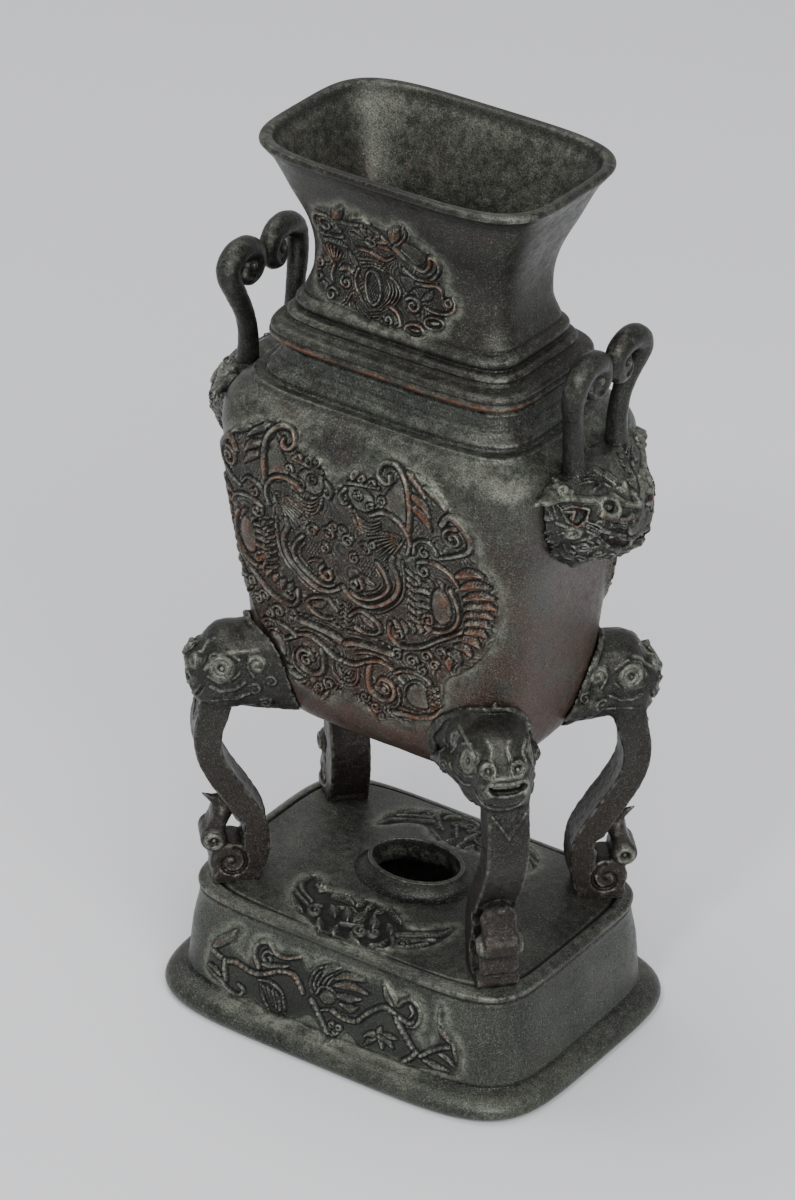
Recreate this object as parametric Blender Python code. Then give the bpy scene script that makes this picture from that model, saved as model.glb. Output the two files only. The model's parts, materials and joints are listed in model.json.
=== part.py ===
"""Cast bronze vase on four beast-headed legs and an oblong plinth.

Metres, +Z up, origin on the ground under the middle of the plinth. X runs
along the long faces, and the front, with the two phoenixes, looks along -Y.
"""
import math

import bmesh
import bpy
import numpy as np
from mathutils import Vector

# Heights, from the ground up
PLINTH_HEIGHT = 0.0434
PLINTH_DOME = 0.0036
LEG_RISE = 0.0626
BODY_HEIGHT = 0.1426
NECK_HEIGHT = 0.0711

# Half lengths along X, and how much shorter each section is along Y
FOOT_HALF_LENGTH = 0.0770
PLINTH_HALF_LENGTH = 0.0664
BODY_HALF_LENGTH = 0.0620
NECK_HALF_LENGTH = 0.0377
RIM_HALF_LENGTH = 0.0543
LENGTH_LESS_WIDTH = 0.0187
NECK_LESS_WIDTH = 0.0182
FOOT_LESS_WIDTH = 0.0172

# Walls and gaps
PLINTH_WALL = 0.0030
BODY_WALL = 0.0030
NECK_WALL = 0.0028
CLEARANCE = 0.0003
FACET_ALLOWANCE = 0.0002

# The plinth's rounded foot and the neck's lip
FLANGE_HEIGHT = 0.0082
PLINTH_EDGE = 0.0007
LIP_HEIGHT = 0.0024
LIP_EDGE = 0.0006

# The oval hole in the top of the plinth
OVAL_HALF_LENGTH = 0.0177
OVAL_HALF_WIDTH = 0.0136
OVAL_COLLAR_HEIGHT = 0.0055
OVAL_WALL = 0.0015
OVAL_FLARE = 0.0042

# Legs: how far in from the plinth's edge a foot stands, and which way its plane runs
FOOT_INSET_X = 0.0092
FOOT_INSET_Y = 0.0112
LEG_ANGLE = math.radians(42.0)
LEG_WIDTH = 0.0135
LEG_EDGE = 0.0014
LEG_HEAD_HALF_WIDTH = 0.0176
LEG_COLLAR_SHIFT = 0.0040
FOOT_SCROLL_RADIUS = 0.0078
TENDRIL_WIDTH = 0.0080
TENDRIL_SCROLL_RADIUS = 0.0042

# Handles: two bars that rise from a beast mask
HANDLE_BAR_STAND = 0.0032
HANDLE_FOOT_SHARE = 0.8626
HANDLE_BAR_HEIGHT = 0.0385
HANDLE_BAR_SPREAD = 0.0166
HANDLE_BAR_RADIUS = 0.0035
HANDLE_MASK_DEPTH = 0.0215
HANDLE_MASK_HALF_WIDTH = 0.0260
HANDLE_MASK_HEIGHT = 0.0320

# Reliefs
PHOENIX_PANEL_HEIGHT = 0.1040
PHOENIX_PANEL_SHIFT = -0.0060
PHOENIX_DEPTH = 0.0015
FLOWER_PANEL_HEIGHT = 0.0420
FLOWER_PANEL_SHIFT = -0.0060
FLOWER_DEPTH = 0.0012
VINE_PANEL_LENGTH = 0.1040
VINE_DEPTH = 0.0014
CRESCENT_LENGTH = 0.0600
CRESCENT_DEPTH = 0.0011
CRESCENT_MIDDLE = 0.0335
CORNER_MARGIN = 0.0040
PAD_SHARE = 0.45

# Section shapes: the power of each rounded oblong
BODY_POWER = 5.2
NECK_POWER = 5.6
RIM_POWER = 4.2
PLINTH_POWER = 6.0
FOOT_POWER = 4.8
OVAL_POWER = 2.0

# Triangles left on each carved casting, and points round each section
BODY_TRIANGLES = 3700
NECK_TRIANGLES = 1600
PLINTH_TRIANGLES = 1900
LEG_TRIANGLES = 480
HANDLE_TRIANGLES = 560
RING_POINTS = 256
CLEARANCE_RING_POINTS = 144

# Heights that follow from the sizes above
PLINTH_TOP = PLINTH_HEIGHT + PLINTH_DOME
BODY_BASE = PLINTH_HEIGHT + LEG_RISE
BODY_TOP = BODY_BASE + BODY_HEIGHT
NECK_BASE = BODY_TOP + CLEARANCE
FOOT_X = PLINTH_HALF_LENGTH - FOOT_INSET_X
FOOT_Y = PLINTH_HALF_LENGTH - LENGTH_LESS_WIDTH - FOOT_INSET_Y
HANDLE_REACH = BODY_HALF_LENGTH + HANDLE_BAR_STAND
HANDLE_FOOT_HEIGHT = BODY_BASE + HANDLE_FOOT_SHARE * BODY_HEIGHT
LEG_UNIT = LEG_RISE / 100

# Profiles: share of the piece's own height, and share of its half length
BODY_PROFILE = (
    (0.000, 0.36), (0.006, 0.52), (0.028, 0.655), (0.065, 0.745), (0.113, 0.803),
    (0.182, 0.845), (0.273, 0.869), (0.379, 0.889), (0.484, 0.913), (0.589, 0.946),
    (0.694, 0.980), (0.757, 0.995), (0.806, 1.000), (0.845, 0.988), (0.877, 0.948),
    (0.900, 0.892), (0.914, 0.848), (0.919, 0.819), (0.929, 0.806), (0.945, 0.775),
    (0.966, 0.752), (1.000, 0.742),
)
# The neck's lower roll: share of its height, and share of the body's collar under it
NECK_LOWER_ROLL = (
    (0.000, 0.996), (0.006, 1.045), (0.030, 1.070), (0.058, 1.066), (0.080, 1.037),
    (0.092, 0.988), (0.100, 0.971),
)
# The neck's upper roll: share of its height, and share of the way from waist to collar
NECK_UPPER_ROLL = (
    (0.112, 0.854), (0.130, 0.827), (0.146, 0.727), (0.156, 0.568), (0.190, 0.490),
    (0.240, 0.295),
)
# The neck above its rolls: share of its height, and share of the way from waist to rim
NECK_FLARE = (
    (0.330, 0.023), (0.400, 0.000), (0.470, 0.014), (0.540, 0.073), (0.620, 0.186),
    (0.760, 0.466), (0.890, 0.727), (0.945, 0.897),
)
# The plinth's foot: share of the flange's height, and share of it that the edge stands back
FLANGE_PROFILE = (
    (0.00, 0.37), (0.10, 0.17), (0.27, 0.02), (0.46, 0.00), (0.68, 0.085), (0.88, 0.29),
    (1.00, 0.54),
)
PLINTH_WALL_PROFILE = (
    (0.205, 1.070), (0.270, 1.054), (0.430, 1.040), (0.640, 1.022), (0.840, 1.000),
    (0.900, 0.999), (0.945, 1.003), (0.975, 0.999), (1.000, 0.983),
)


def curve(points, steps=6):
    """A smooth line through the points, with steps stretches between each two."""
    p = np.array(points, float)
    ends = np.vstack([2 * p[0] - p[1], p, 2 * p[-1] - p[-2]])
    line = []
    for i in range(len(p) - 1):
        a, b, c, d = ends[i:i + 4]
        for t in np.arange(steps) / steps:
            line.append(0.5 * (2 * b + (c - a) * t + (2 * a - 5 * b + 4 * c - d) * t ** 2
                               + (3 * b - a - 3 * c + d) * t ** 3))
    line.append(p[-1])
    return np.array(line)


def scroll(x, y, radius, start, turns=1.25, hand=1, steps=16):
    """A spiral that winds in to (x, y) from the start angle, in degrees."""
    t = np.linspace(0, 1, steps)
    angle = math.radians(start) + hand * 2 * math.pi * turns * t
    reach = radius * (1 - 0.85 * t)
    return np.stack([x + reach * np.cos(angle), y + reach * np.sin(angle)], 1)


def fan(x, y, inner, outer, first, last, count):
    """Straight ribs that spread from (x, y) between two angles, in degrees."""
    ribs = []
    for angle in np.radians(np.linspace(first, last, count)):
        way = np.array([math.cos(angle), math.sin(angle)])
        ribs.append(np.array([x, y]) + np.outer(np.linspace(inner, outer, 3), way))
    return ribs


def mirrored(strokes):
    """The strokes and the same strokes again on the other side of x = 0."""
    return strokes + [(line * (-1, 1), width) for line, width in strokes]


def phoenix_strokes():
    """Two phoenixes face to face, on a sheet 104 tall with its middle at (0, 0)."""
    half = [
        (curve([(20, 45), (17, 46), (16.3, 49), (20, 51), (25, 49.5), (28, 44), (29.3, 36),
                (30, 29)]), 2.8),
        (curve([(8, 38), (4, 36), (2, 32)]), 2.6),
        (curve([(24, 27), (23.5, 18), (25, 9), (20.5, 1.5), (12.5, -4), (5, -6), (0, -4.5)]), 3.0),
        (curve([(14, 14.5), (19, 9), (18.5, 2), (12.5, -2.5), (6, -2.5), (2.5, 0)]), 2.4),
        (curve([(46, 14), (49, 8), (48.5, 1), (44, -5), (37, -6.5)]), 2.8),
        (curve([(40, 39), (46, 38), (51.5, 31), (49, 26.5), (42, 23), (35, 24.5)]), 2.6),
        (curve([(30, 19), (36, 21), (42, 19), (45, 14)]), 2.4),
        (curve([(17, -8), (16.5, -13), (21, -16.5), (29, -15.5), (37, -11), (45, -3)]), 2.8),
        (curve([(2, -12), (8, -8), (13, -11), (12, -16), (4, -18)]), 2.4),
        (curve([(1, -21.5), (8, -19.5), (18, -20.5)]), 3.2),
        (curve([(2, -29.5), (9, -26), (15, -25.5), (20, -29), (25, -35), (30, -38.5)]), 2.8),
        (curve([(24, -28), (30, -27.5), (34, -33), (34, -39)]), 2.6),
        (curve([(0, -42), (3, -40), (4, -35), (3, -30)]), 2.2),
        (curve([(18, -45), (27, -43), (34, -39.5)]), 3.4),
        (curve([(6, -42), (8, -47), (11, -51)]), 2.8),
        (scroll(10, 42.5, 3.6, 200), 2.2),
        (scroll(43.5, 33, 4.6, 90), 2.2),
        (scroll(34.5, -3, 3.8, 300, hand=-1), 2.4),
        (scroll(14.5, -37, 6.0, 80), 2.6),
        (scroll(8, 4.5, 3.8, 190, hand=-1), 2.2),
        (scroll(10, 17, 4.2, 20), 2.2),
    ]
    half += [(rib, 4.6) for rib in fan(40, 5, 12.5, 17.5, 58, -78, 9)]
    half += [(rib, 3.6) for rib in fan(36, -10, 8.5, 13.0, -10, -80, 4)]
    half += [(rib, 2.0) for rib in fan(29, -31, 6.5, 9.5, 80, -40, 6)]
    half += [(rib, 2.6) for rib in fan(22, 30, 14.5, 20.5, 62, 22, 5)]
    half += [(rib, 2.0) for rib in fan(27, 27, 6.0, 19.0, 212, 186, 4)]
    return mirrored(half)


def phoenix_outline():
    """The edge of the phoenix panel on the same sheet."""
    half = [(0, 39), (5, 43.5), (10, 46), (15, 48), (17, 51.5), (23, 52), (32, 50), (40, 45),
            (47, 39.5), (52.5, 33), (53, 27), (57, 20), (58.5, 12), (57.5, 3), (55, -6),
            (50, -16), (44, -21), (40, -27), (38, -37), (30, -42), (20, -47), (10, -52), (5, -48)]
    return half + [(0, -47.5)] + [(-x, y) for x, y in reversed(half[1:])]


def flower_strokes():
    """The tangle of scrolls and petals on the neck, on a sheet 42 tall."""
    ring = np.array([(-3 + 3.2 * math.cos(a), -9 + 5.8 * math.sin(a)) for a in np.linspace(0, 6.283, 20)])
    return [
        (ring, 1.8),
        (curve([(-10, 13), (-14, 17), (-10, 20)]), 2.4),
        (curve([(-16, 13), (-8, 14), (0, 16), (8, 12), (11, 19)]), 2.2),
        (curve([(8, 13), (9, 7), (15, 3), (20, 6), (22, 12), (18, 13)]), 2.4),
        (curve([(-24, 6), (-14, 8), (-6, 4), (2, 3), (8, 6)]), 2.2),
        (curve([(4, -2), (3, -10), (-2, -15), (-10, -14)]), 2.2),
        (curve([(8, -1), (14, 0), (20, 1), (24, -3), (20, -7), (14, -6)]), 2.4),
        (curve([(-24, 2), (-20, -3), (-22, -9), (-16, -8), (-12, -4)]), 2.2),
        (scroll(13, -6, 3.2, 100), 1.8),
        (scroll(20, -13.5, 3.0, 30, hand=-1), 1.9),
        (scroll(13, -18, 3.2, 160), 1.9),
        (scroll(3, -18, 3.2, 20, hand=-1), 1.9),
        (scroll(-8, -18, 3.0, 160), 1.9),
        (scroll(-19, -15, 3.2, 60), 1.9),
        (scroll(-20, 11, 4.0, 300), 2.0),
        (scroll(-12, -1, 3.2, 210), 1.9),
    ] + [(rib, 2.2) for rib in fan(0, 9, 3.0, 6.5, 20, 200, 5)]


def flower_outline():
    """The edge of the neck's panel on the same sheet."""
    return [(-11, 20.5), (-17, 17), (-23, 13), (-25.5, 6), (-26, -2), (-26, -11), (-22, -17),
            (-12, -20), (0, -21), (12, -21), (20, -20), (23, -15), (27, -10), (27.5, -5), (24, 3),
            (24, 11), (18, 16), (13, 20.5), (8, 18), (0, 17.5), (-5, 16)]


def vine_strokes():
    """The vine and peony round the plinth, on a sheet 104 long, 28 tall."""
    return [
        (curve([(-50, 1), (-42, -1.5), (-31, -2), (-22, 2), (-14, 4), (-10, 0)]), 2.6),
        (curve([(-50, 2), (-46, 8), (-40, 13)]), 2.6),
        (curve([(-50, -4), (-47, -9), (-40, -11), (-36, -9)]), 2.4),
        (curve([(-30, 2), (-32, 8), (-28, 12.5), (-23, 10), (-25, 5.5)]), 2.4),
        (curve([(-24, 7), (-19, 9), (-13, 12.5)]), 2.4),
        (curve([(2, -3), (8, -3), (14, 1), (20, 6.5), (26, 3), (31, -3), (36, -7), (33, -11)]), 2.6),
        (curve([(21, 13), (27, 8), (33, 12.5), (36, 8), (31, 3.5)]), 2.4),
        (curve([(36, -6), (43, -1), (49, 0)]), 2.4),
        (curve([(43, 13), (44, 7), (50, 2), (51.5, -6)]), 2.4),
        (curve([(38, -8), (44, -8), (50, -7)]), 2.4),
        (curve([(-8, -2), (-3, -8), (2, -12), (6, -8)]), 2.4),
    ] + [(rib, 3.0) for rib in fan(3, 1, 3.0, 11.0, 15, 165, 7)] \
      + [(rib, 2.6) for rib in fan(-27, -4, 1.0, 10.0, -10, -65, 3)] \
      + [(rib, 2.6) for rib in fan(16, -10, 2.0, 12.0, 10, 60, 3)]


def vine_outline():
    """The edge of the plinth's side panel on the same sheet."""
    return [(-52, 0), (-49, 7), (-42, 14), (-36, 13), (-28, 14), (-12, 13.5), (2, 15), (14, 14),
            (28, 14), (36, 13), (43, 14), (49, 7), (53, -5), (48, -10), (34, -12), (16, -12),
            (2, -14), (-12, -12), (-34, -12.5), (-48, -9)]


def crescent_strokes():
    """Leaves and flowers in a crescent, on a sheet 60 long; +y points to the oval."""
    return [
        (curve([(-28, 9), (-24, 2), (-16, -4)]), 2.4),
        (curve([(29, 10), (25, 3), (17, -4)]), 2.4),
        (scroll(-16, -5, 3.2, 90), 2.0),
        (scroll(14, -6, 3.2, 60, hand=-1), 2.0),
        (scroll(4, -5, 2.8, 120), 2.0),
        (curve([(-15, 6), (-11, 7.5), (-7, 5)]), 2.6),
        (curve([(6, 8), (10, 6), (13, 3)]), 2.6),
        (curve([(-10, -9), (-3, -6), (6, -9)]), 2.4),
    ] + [(rib, 2.2) for rib in fan(-1, -2, 2.5, 9.0, 40, 140, 4)]


def crescent_outline():
    """The edge of the crescent on the same sheet."""
    return [(-30, 8), (-26, 12), (-22, 8), (-15, 5), (-8, 8), (0, 8.5), (8, 9.5), (14, 6), (22, 9),
            (28, 13), (30, 7), (27, 0), (18, -7), (10, -11), (0, -12.5), (-10, -11.5), (-20, -6),
            (-27, 1)]


def distance_to(line, u, v):
    """How far each (u, v) lies from the line, and how far along it is, from 0 to 1."""
    best = np.full(u.shape, 1e9)
    along = np.zeros(u.shape)
    last = len(line) - 1
    for i in range(last):
        (ax, ay), (bx, by) = line[i], line[i + 1]
        dx, dy = bx - ax, by - ay
        t = np.clip(((u - ax) * dx + (v - ay) * dy) / max(dx * dx + dy * dy, 1e-9), 0, 1)
        gap = np.hypot(u - ax - t * dx, v - ay - t * dy)
        near = gap < best
        best = np.where(near, gap, best)
        along = np.where(near, (i + t) / last, along)
    return best, along


def inside(outline, u, v):
    """True where (u, v) lies within the closed outline."""
    hit = np.zeros(u.shape, bool)
    for (ax, ay), (bx, by) in zip(outline, np.roll(outline, -1, axis=0)):
        if ay != by:
            hit ^= ((ay > v) != (by > v)) & (u < (bx - ax) * (v - ay) / (by - ay) + ax)
    return hit


def carving(u, v, strokes, outline):
    """Height of a carved panel at (u, v) on its sheet, from 0 at the edge to 1."""
    edge = curve(outline + outline[:1], 3)
    gap, _ = distance_to(edge, u, v)
    pad = PAD_SHARE * np.where(inside(edge, u, v), np.clip(gap / 1.2, 0, 1), 0)
    ridges = np.zeros(u.shape)
    for line, width in strokes:
        gap, along = distance_to(line, u, v)
        reach = width / 2 * (1 - 0.5 * along ** 2)
        ridges = np.maximum(ridges, np.sqrt(np.clip(1 - (gap / reach) ** 2, 0, 1)))
    return pad + (1 - PAD_SHARE) * ridges * (pad > 0)


def section(half_length, half_width, power, z, count=RING_POINTS):
    """A rounded oblong at height z, with its points evenly spaced from the front's middle."""
    t = np.linspace(-math.pi / 2, 1.5 * math.pi, 2881)
    c, s = np.cos(t), np.sin(t)
    x = half_length * np.sign(c) * np.abs(c) ** (2 / power)
    y = half_width * np.sign(s) * np.abs(s) ** (2 / power)
    run = np.concatenate([[0], np.cumsum(np.hypot(np.diff(x), np.diff(y)))])
    even = np.arange(count) / count * run[-1]
    return np.stack([np.interp(even, run, x), np.interp(even, run, y), np.full(count, z)], 1)


def arc_from_front(ring):
    """Length along the ring from the middle of the front, negative towards -X."""
    step = np.linalg.norm(np.roll(ring, -1, axis=0) - ring, axis=1)
    run = np.concatenate([[0], np.cumsum(step)[:-1]])
    return np.where(run > step.sum() / 2, run - step.sum(), run)


def normals(rings):
    """Outward normals of a stack of rings, as an array of the same shape."""
    around = np.roll(rings, -1, axis=1) - np.roll(rings, 1, axis=1)
    up = np.gradient(rings, axis=0)
    out = np.cross(around, up)
    return out / np.maximum(np.linalg.norm(out, axis=2, keepdims=True), 1e-12)


def loft(name, rings, ends="open"):
    """A closed mesh through the rings, which are joined end to end or capped."""
    count = len(rings[0])
    points = [tuple(p) for ring in rings for p in ring]
    faces = []
    pairs = len(rings) if ends == "joined" else len(rings) - 1
    for j in range(pairs):
        low, high = j * count, (j + 1) % len(rings) * count
        for i in range(count):
            k = (i + 1) % count
            faces.append((low + i, low + k, high + k, high + i))
    if ends == "capped":
        faces.append(tuple(range(count))[::-1])
        faces.append(tuple(range((len(rings) - 1) * count, len(rings) * count)))
    mesh = bpy.data.meshes.new(name)
    mesh.from_pydata(points, [], faces)
    mesh.update()
    return mesh


def bronze(name, color, roughness):
    """Dark patinated bronze."""
    material = bpy.data.materials.new(name)
    material.use_nodes = True
    shader = material.node_tree.nodes["Principled BSDF"]
    shader.inputs["Base Color"].default_value = (*color, 1)
    shader.inputs["Metallic"].default_value = 0.75
    shader.inputs["Roughness"].default_value = roughness
    return material


def place(name, mesh, material):
    """Put a mesh in the scene as a named, smooth-shaded piece."""
    mesh.shade_smooth()
    mesh.set_sharp_from_angle(angle=math.radians(40))
    mesh.materials.clear()
    mesh.materials.append(material)
    piece = bpy.data.objects.new(name, mesh)
    bpy.context.scene.collection.objects.link(piece)
    return piece


def guide(name, mesh):
    """Put a mesh in the scene as a hidden tool shape."""
    tool = bpy.data.objects.new(name, mesh)
    tool.hide_render = True
    tool.display_type = "WIRE"
    bpy.context.scene.collection.objects.link(tool)
    return tool


def boolean(piece, tool, operation):
    """Join a tool shape to a piece, or cut it away."""
    modifier = piece.modifiers.new(operation.title() + " " + tool.name, "BOOLEAN")
    modifier.object = tool
    modifier.operation = operation
    modifier.solver = "EXACT"


def thin_out(piece, triangles):
    """Leave about this many triangles on a piece, where its form needs them."""
    bpy.context.view_layer.update()
    mesh = piece.evaluated_get(bpy.context.evaluated_depsgraph_get()).data
    mesh.calc_loop_triangles()
    modifier = piece.modifiers.new("Thin out", "DECIMATE")
    modifier.ratio = min(1.0, triangles / len(mesh.loop_triangles))
    modifier.use_collapse_triangulate = True


def settled_mesh(piece, name):
    """A copy of the piece's mesh with its modifiers applied."""
    bpy.context.view_layer.update()
    evaluated = piece.evaluated_get(bpy.context.evaluated_depsgraph_get())
    mesh = bpy.data.meshes.new_from_object(evaluated)
    mesh.name = name
    return mesh


def profile_curve(points, height, half_length, steps=3):
    """A profile in metres, as rows of (z above the piece's base, half length)."""
    line = curve(points, steps)
    return np.stack([line[:, 0] * height, line[:, 1] * half_length], 1)


def shifted_in(profile, wall):
    """The profile moved in by the wall, square to itself."""
    step = np.gradient(profile, axis=0)
    step /= np.maximum(np.linalg.norm(step, axis=1, keepdims=True), 1e-12)
    return profile + wall * np.stack([step[:, 1], -step[:, 0]], 1)


def body_profile(steps):
    """Outer profile of the body, bottom to top."""
    return profile_curve(BODY_PROFILE, BODY_HEIGHT, BODY_HALF_LENGTH, steps)


def body_rings(profile, count=RING_POINTS, grow=0.0):
    """Sections of the body at each row of a profile."""
    return [section(a + grow, a + grow - LENGTH_LESS_WIDTH, BODY_POWER, BODY_BASE + z, count)
            for z, a in profile]


def carve_long_faces(rings, strokes, outline, unit, shift, middle, depth, keep_off=None):
    """Raise a carved panel on the front and, turned about, on the back.

    keep_off is an arc length, a height and a radius that the panel stays out of.
    """
    rings = np.array(rings)
    out = normals(rings)
    u = np.array([arc_from_front(ring) for ring in rings])
    v = (rings[:, :, 2] - middle) / unit
    half = np.abs(u).max(axis=1, keepdims=True)
    from_back = np.where(u > 0, u - half, u + half)
    for along in (u, from_back):
        sheet = (along - shift) / unit
        near = (np.abs(sheet) < 62) & (np.abs(v) < 56)
        height = np.zeros(u.shape)
        height[near] = carving(sheet[near], v[near], strokes, outline)
        room = rings[:, :, 0].max(axis=1, keepdims=True) - np.abs(along)
        height *= np.clip(room / CORNER_MARGIN + 1.0, 0, 1)
        if keep_off:
            arc, z, radius = keep_off
            room = np.hypot(np.abs(along) - arc, rings[:, :, 2] - z) - radius
            height *= np.clip(room / CORNER_MARGIN, 0, 1)
        rings += out * (depth * height)[..., None]
    return rings


def make_body(material):
    """The hollow body, with the two phoenixes on each long face."""
    row = 0.0012
    ends = body_profile(4)
    run = np.concatenate([[0], np.cumsum(np.linalg.norm(np.diff(ends, axis=0), axis=1))])
    even = np.linspace(0, run[-1], int(run[-1] / row))
    outer = np.stack([np.interp(even, run, ends[:, 0]), np.interp(even, run, ends[:, 1])], 1)
    inner = shifted_in(body_profile(2), BODY_WALL)
    inner[-1] = (BODY_HEIGHT, inner[-1, 1])
    inner = inner[inner[:, 0] > BODY_WALL]
    middle = BODY_BASE + BODY_HEIGHT / 2
    unit = PHOENIX_PANEL_HEIGHT / 104
    beside_head = (FOOT_X - LEG_COLLAR_SHIFT, leg_height(136), LEG_HEAD_HALF_WIDTH + CORNER_MARGIN)
    rings = carve_long_faces(body_rings(outer), phoenix_strokes(), phoenix_outline(), unit,
                             PHOENIX_PANEL_SHIFT, middle, PHOENIX_DEPTH, beside_head)
    rings = list(rings) + body_rings(inner[::-1])
    piece = place("Body", loft("Body", rings, "capped"), material)
    thin_out(piece, BODY_TRIANGLES)
    return piece


def neck_section(z, half_length):
    """A section of the neck, which rounds off towards the rim."""
    power = NECK_POWER + (RIM_POWER - NECK_POWER) * (z / NECK_HEIGHT) ** 2
    return section(half_length, half_length - NECK_LESS_WIDTH, power, NECK_BASE + z)


def neck_profiles():
    """Outer profile of the neck's rolls and of its flare, as rows of (z, half length)."""
    waist, rim = NECK_HALF_LENGTH, RIM_HALF_LENGTH
    collar = BODY_PROFILE[-1][1] * BODY_HALF_LENGTH
    lower = [(z * NECK_HEIGHT, collar * share) for z, share in NECK_LOWER_ROLL]
    upper = [(z * NECK_HEIGHT, waist + (collar - waist) * share) for z, share in NECK_UPPER_ROLL]
    flare = [(z * NECK_HEIGHT, waist + (rim - waist) * share) for z, share in NECK_FLARE]
    return np.vstack([curve(lower, 3), curve(upper, 3)]), curve(upper[-1:] + flare, 8)[1:]


def make_neck(material):
    """The flared neck with its two rolls, open at both ends."""
    rolls, flare = neck_profiles()
    lip = [(NECK_HEIGHT - LIP_HEIGHT, RIM_HALF_LENGTH - LIP_EDGE),
           (NECK_HEIGHT - LIP_HEIGHT / 2, RIM_HALF_LENGTH),
           (NECK_HEIGHT - LIP_EDGE, RIM_HALF_LENGTH - LIP_EDGE),
           (NECK_HEIGHT, RIM_HALF_LENGTH - 2 * LIP_EDGE)]
    bore = [(0.0, rolls[0, 1] - NECK_WALL)]
    bore += shifted_in(flare, NECK_WALL)[::6].tolist()
    bore.append((NECK_HEIGHT - LIP_EDGE, RIM_HALF_LENGTH - NECK_WALL - 2 * LIP_EDGE))
    outside = [neck_section(z, a) for z, a in np.vstack([rolls, flare, lip])]
    inside_wall = [neck_section(z, a) for z, a in reversed(bore)]
    unit = FLOWER_PANEL_HEIGHT / 42
    outside = carve_long_faces(outside, flower_strokes(), flower_outline(), unit,
                               FLOWER_PANEL_SHIFT, NECK_BASE + NECK_HEIGHT / 2, FLOWER_DEPTH)
    piece = place("Neck", loft("Neck", list(outside) + inside_wall, "joined"), material)
    thin_out(piece, NECK_TRIANGLES)
    return piece


def plinth_top_rows():
    """Rings over the domed top, from the rounded edge in to the foot of the oval collar."""
    start = PLINTH_HALF_LENGTH * 0.965
    rows = []
    for t in np.linspace(0, 1, 26):
        a = (1 - t) * start + t * (OVAL_HALF_LENGTH + OVAL_FLARE)
        b = (1 - t) * (start - LENGTH_LESS_WIDTH) + t * (OVAL_HALF_WIDTH + OVAL_FLARE)
        power = PLINTH_POWER + (OVAL_POWER - PLINTH_POWER) * t ** 0.7
        rise = PLINTH_EDGE + (PLINTH_DOME - PLINTH_EDGE) * math.sin(t * math.pi / 2)
        rows.append((a, b, power, PLINTH_HEIGHT + rise))
    return rows


def plinth_outside_rows():
    """Rings up the outside of the plinth: the foot flange, the wall and the rounded edge."""
    rows = []
    for z, back in FLANGE_PROFILE:
        a = FOOT_HALF_LENGTH - back * FLANGE_HEIGHT
        rows.append((a, a - FOOT_LESS_WIDTH, FOOT_POWER, z * FLANGE_HEIGHT))
    for z, a in profile_curve(PLINTH_WALL_PROFILE, PLINTH_HEIGHT, PLINTH_HALF_LENGTH, 4):
        power = FOOT_POWER + (PLINTH_POWER - FOOT_POWER) * min(1, 1.6 * z / PLINTH_HEIGHT)
        rows.append((a, a - LENGTH_LESS_WIDTH, power, z))
    return rows


def carved_top(rows):
    """The rings of the domed top, with a crescent of leaves before and behind the oval."""
    unit = CRESCENT_LENGTH / 60
    rings = []
    for row in rows:
        ring = section(*row)
        for way in (-1, 1):
            u = -way * ring[:, 0] / unit
            v = (CRESCENT_MIDDLE - way * ring[:, 1]) / unit
            near = (np.abs(u) < 34) & (np.abs(v) < 18)
            height = np.zeros(len(ring))
            height[near] = carving(u[near], v[near], crescent_strokes(), crescent_outline())
            ring[:, 2] += CRESCENT_DEPTH * height
        rings.append(ring)
    return rings


def make_plinth(material):
    """The hollow plinth, open below, with an oval collar through its top."""
    side = plinth_outside_rows()
    top = plinth_top_rows()
    wall = PLINTH_WALL
    rings = carve_long_faces([section(*row) for row in side], vine_strokes(), vine_outline(),
                             VINE_PANEL_LENGTH / 104, 0.0, PLINTH_HEIGHT / 2, VINE_DEPTH)
    rings = list(rings) + carved_top(top)
    collar = ((1.20, 0.09), (0.40, 0.36), (0.00, 0.69), (0.00, 0.95), (-0.27, 1.00), (-1.00, 1.00))
    for grow, rise in collar:
        a, b = OVAL_HALF_LENGTH + grow * OVAL_WALL, OVAL_HALF_WIDTH + grow * OVAL_WALL
        rings.append(section(a, b, OVAL_POWER, PLINTH_TOP + rise * OVAL_COLLAR_HEIGHT))
    rings.append(section(OVAL_HALF_LENGTH - OVAL_WALL, OVAL_HALF_WIDTH - OVAL_WALL, OVAL_POWER,
                         PLINTH_TOP - wall))
    for a, b, power, z in top[:8:-8]:
        rings.append(section(a, b, power, z - wall))
    for a, b, power, z in (top[1], side[-4], side[-20], side[7]):
        rings.append(section(a - wall, b - wall, power, z - wall))
    a = FOOT_HALF_LENGTH - FLANGE_HEIGHT
    rings.append(section(a, a - FOOT_LESS_WIDTH, FOOT_POWER, 0.0))
    piece = place("Plinth", loft("Plinth", rings, "joined"), material)
    thin_out(piece, PLINTH_TRIANGLES)
    return piece


def clearance_of_body():
    """A solid a clearance larger than the body, which the legs and masks are cut by."""
    grow = CLEARANCE + FACET_ALLOWANCE
    mesh = loft("Body clearance", body_rings(body_profile(2), CLEARANCE_RING_POINTS, grow),
                "capped")
    for vertex in mesh.vertices:
        if vertex.co.z < BODY_BASE + BODY_WALL:
            vertex.co.z -= grow
    return guide("Body clearance", mesh)


def clearance_of_plinth():
    """A solid a clearance higher than the plinth's top, which the feet are cut by."""
    rows = plinth_outside_rows()[-1:] + plinth_top_rows()[::5]
    rings = [section(a, b, power, z + CLEARANCE, CLEARANCE_RING_POINTS) for a, b, power, z in rows]
    floor = rings[0] * (1, 1, 0) + (0, 0, PLINTH_HEIGHT / 2)
    return guide("Plinth clearance", loft("Plinth clearance", [floor] + rings, "capped"))


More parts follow.
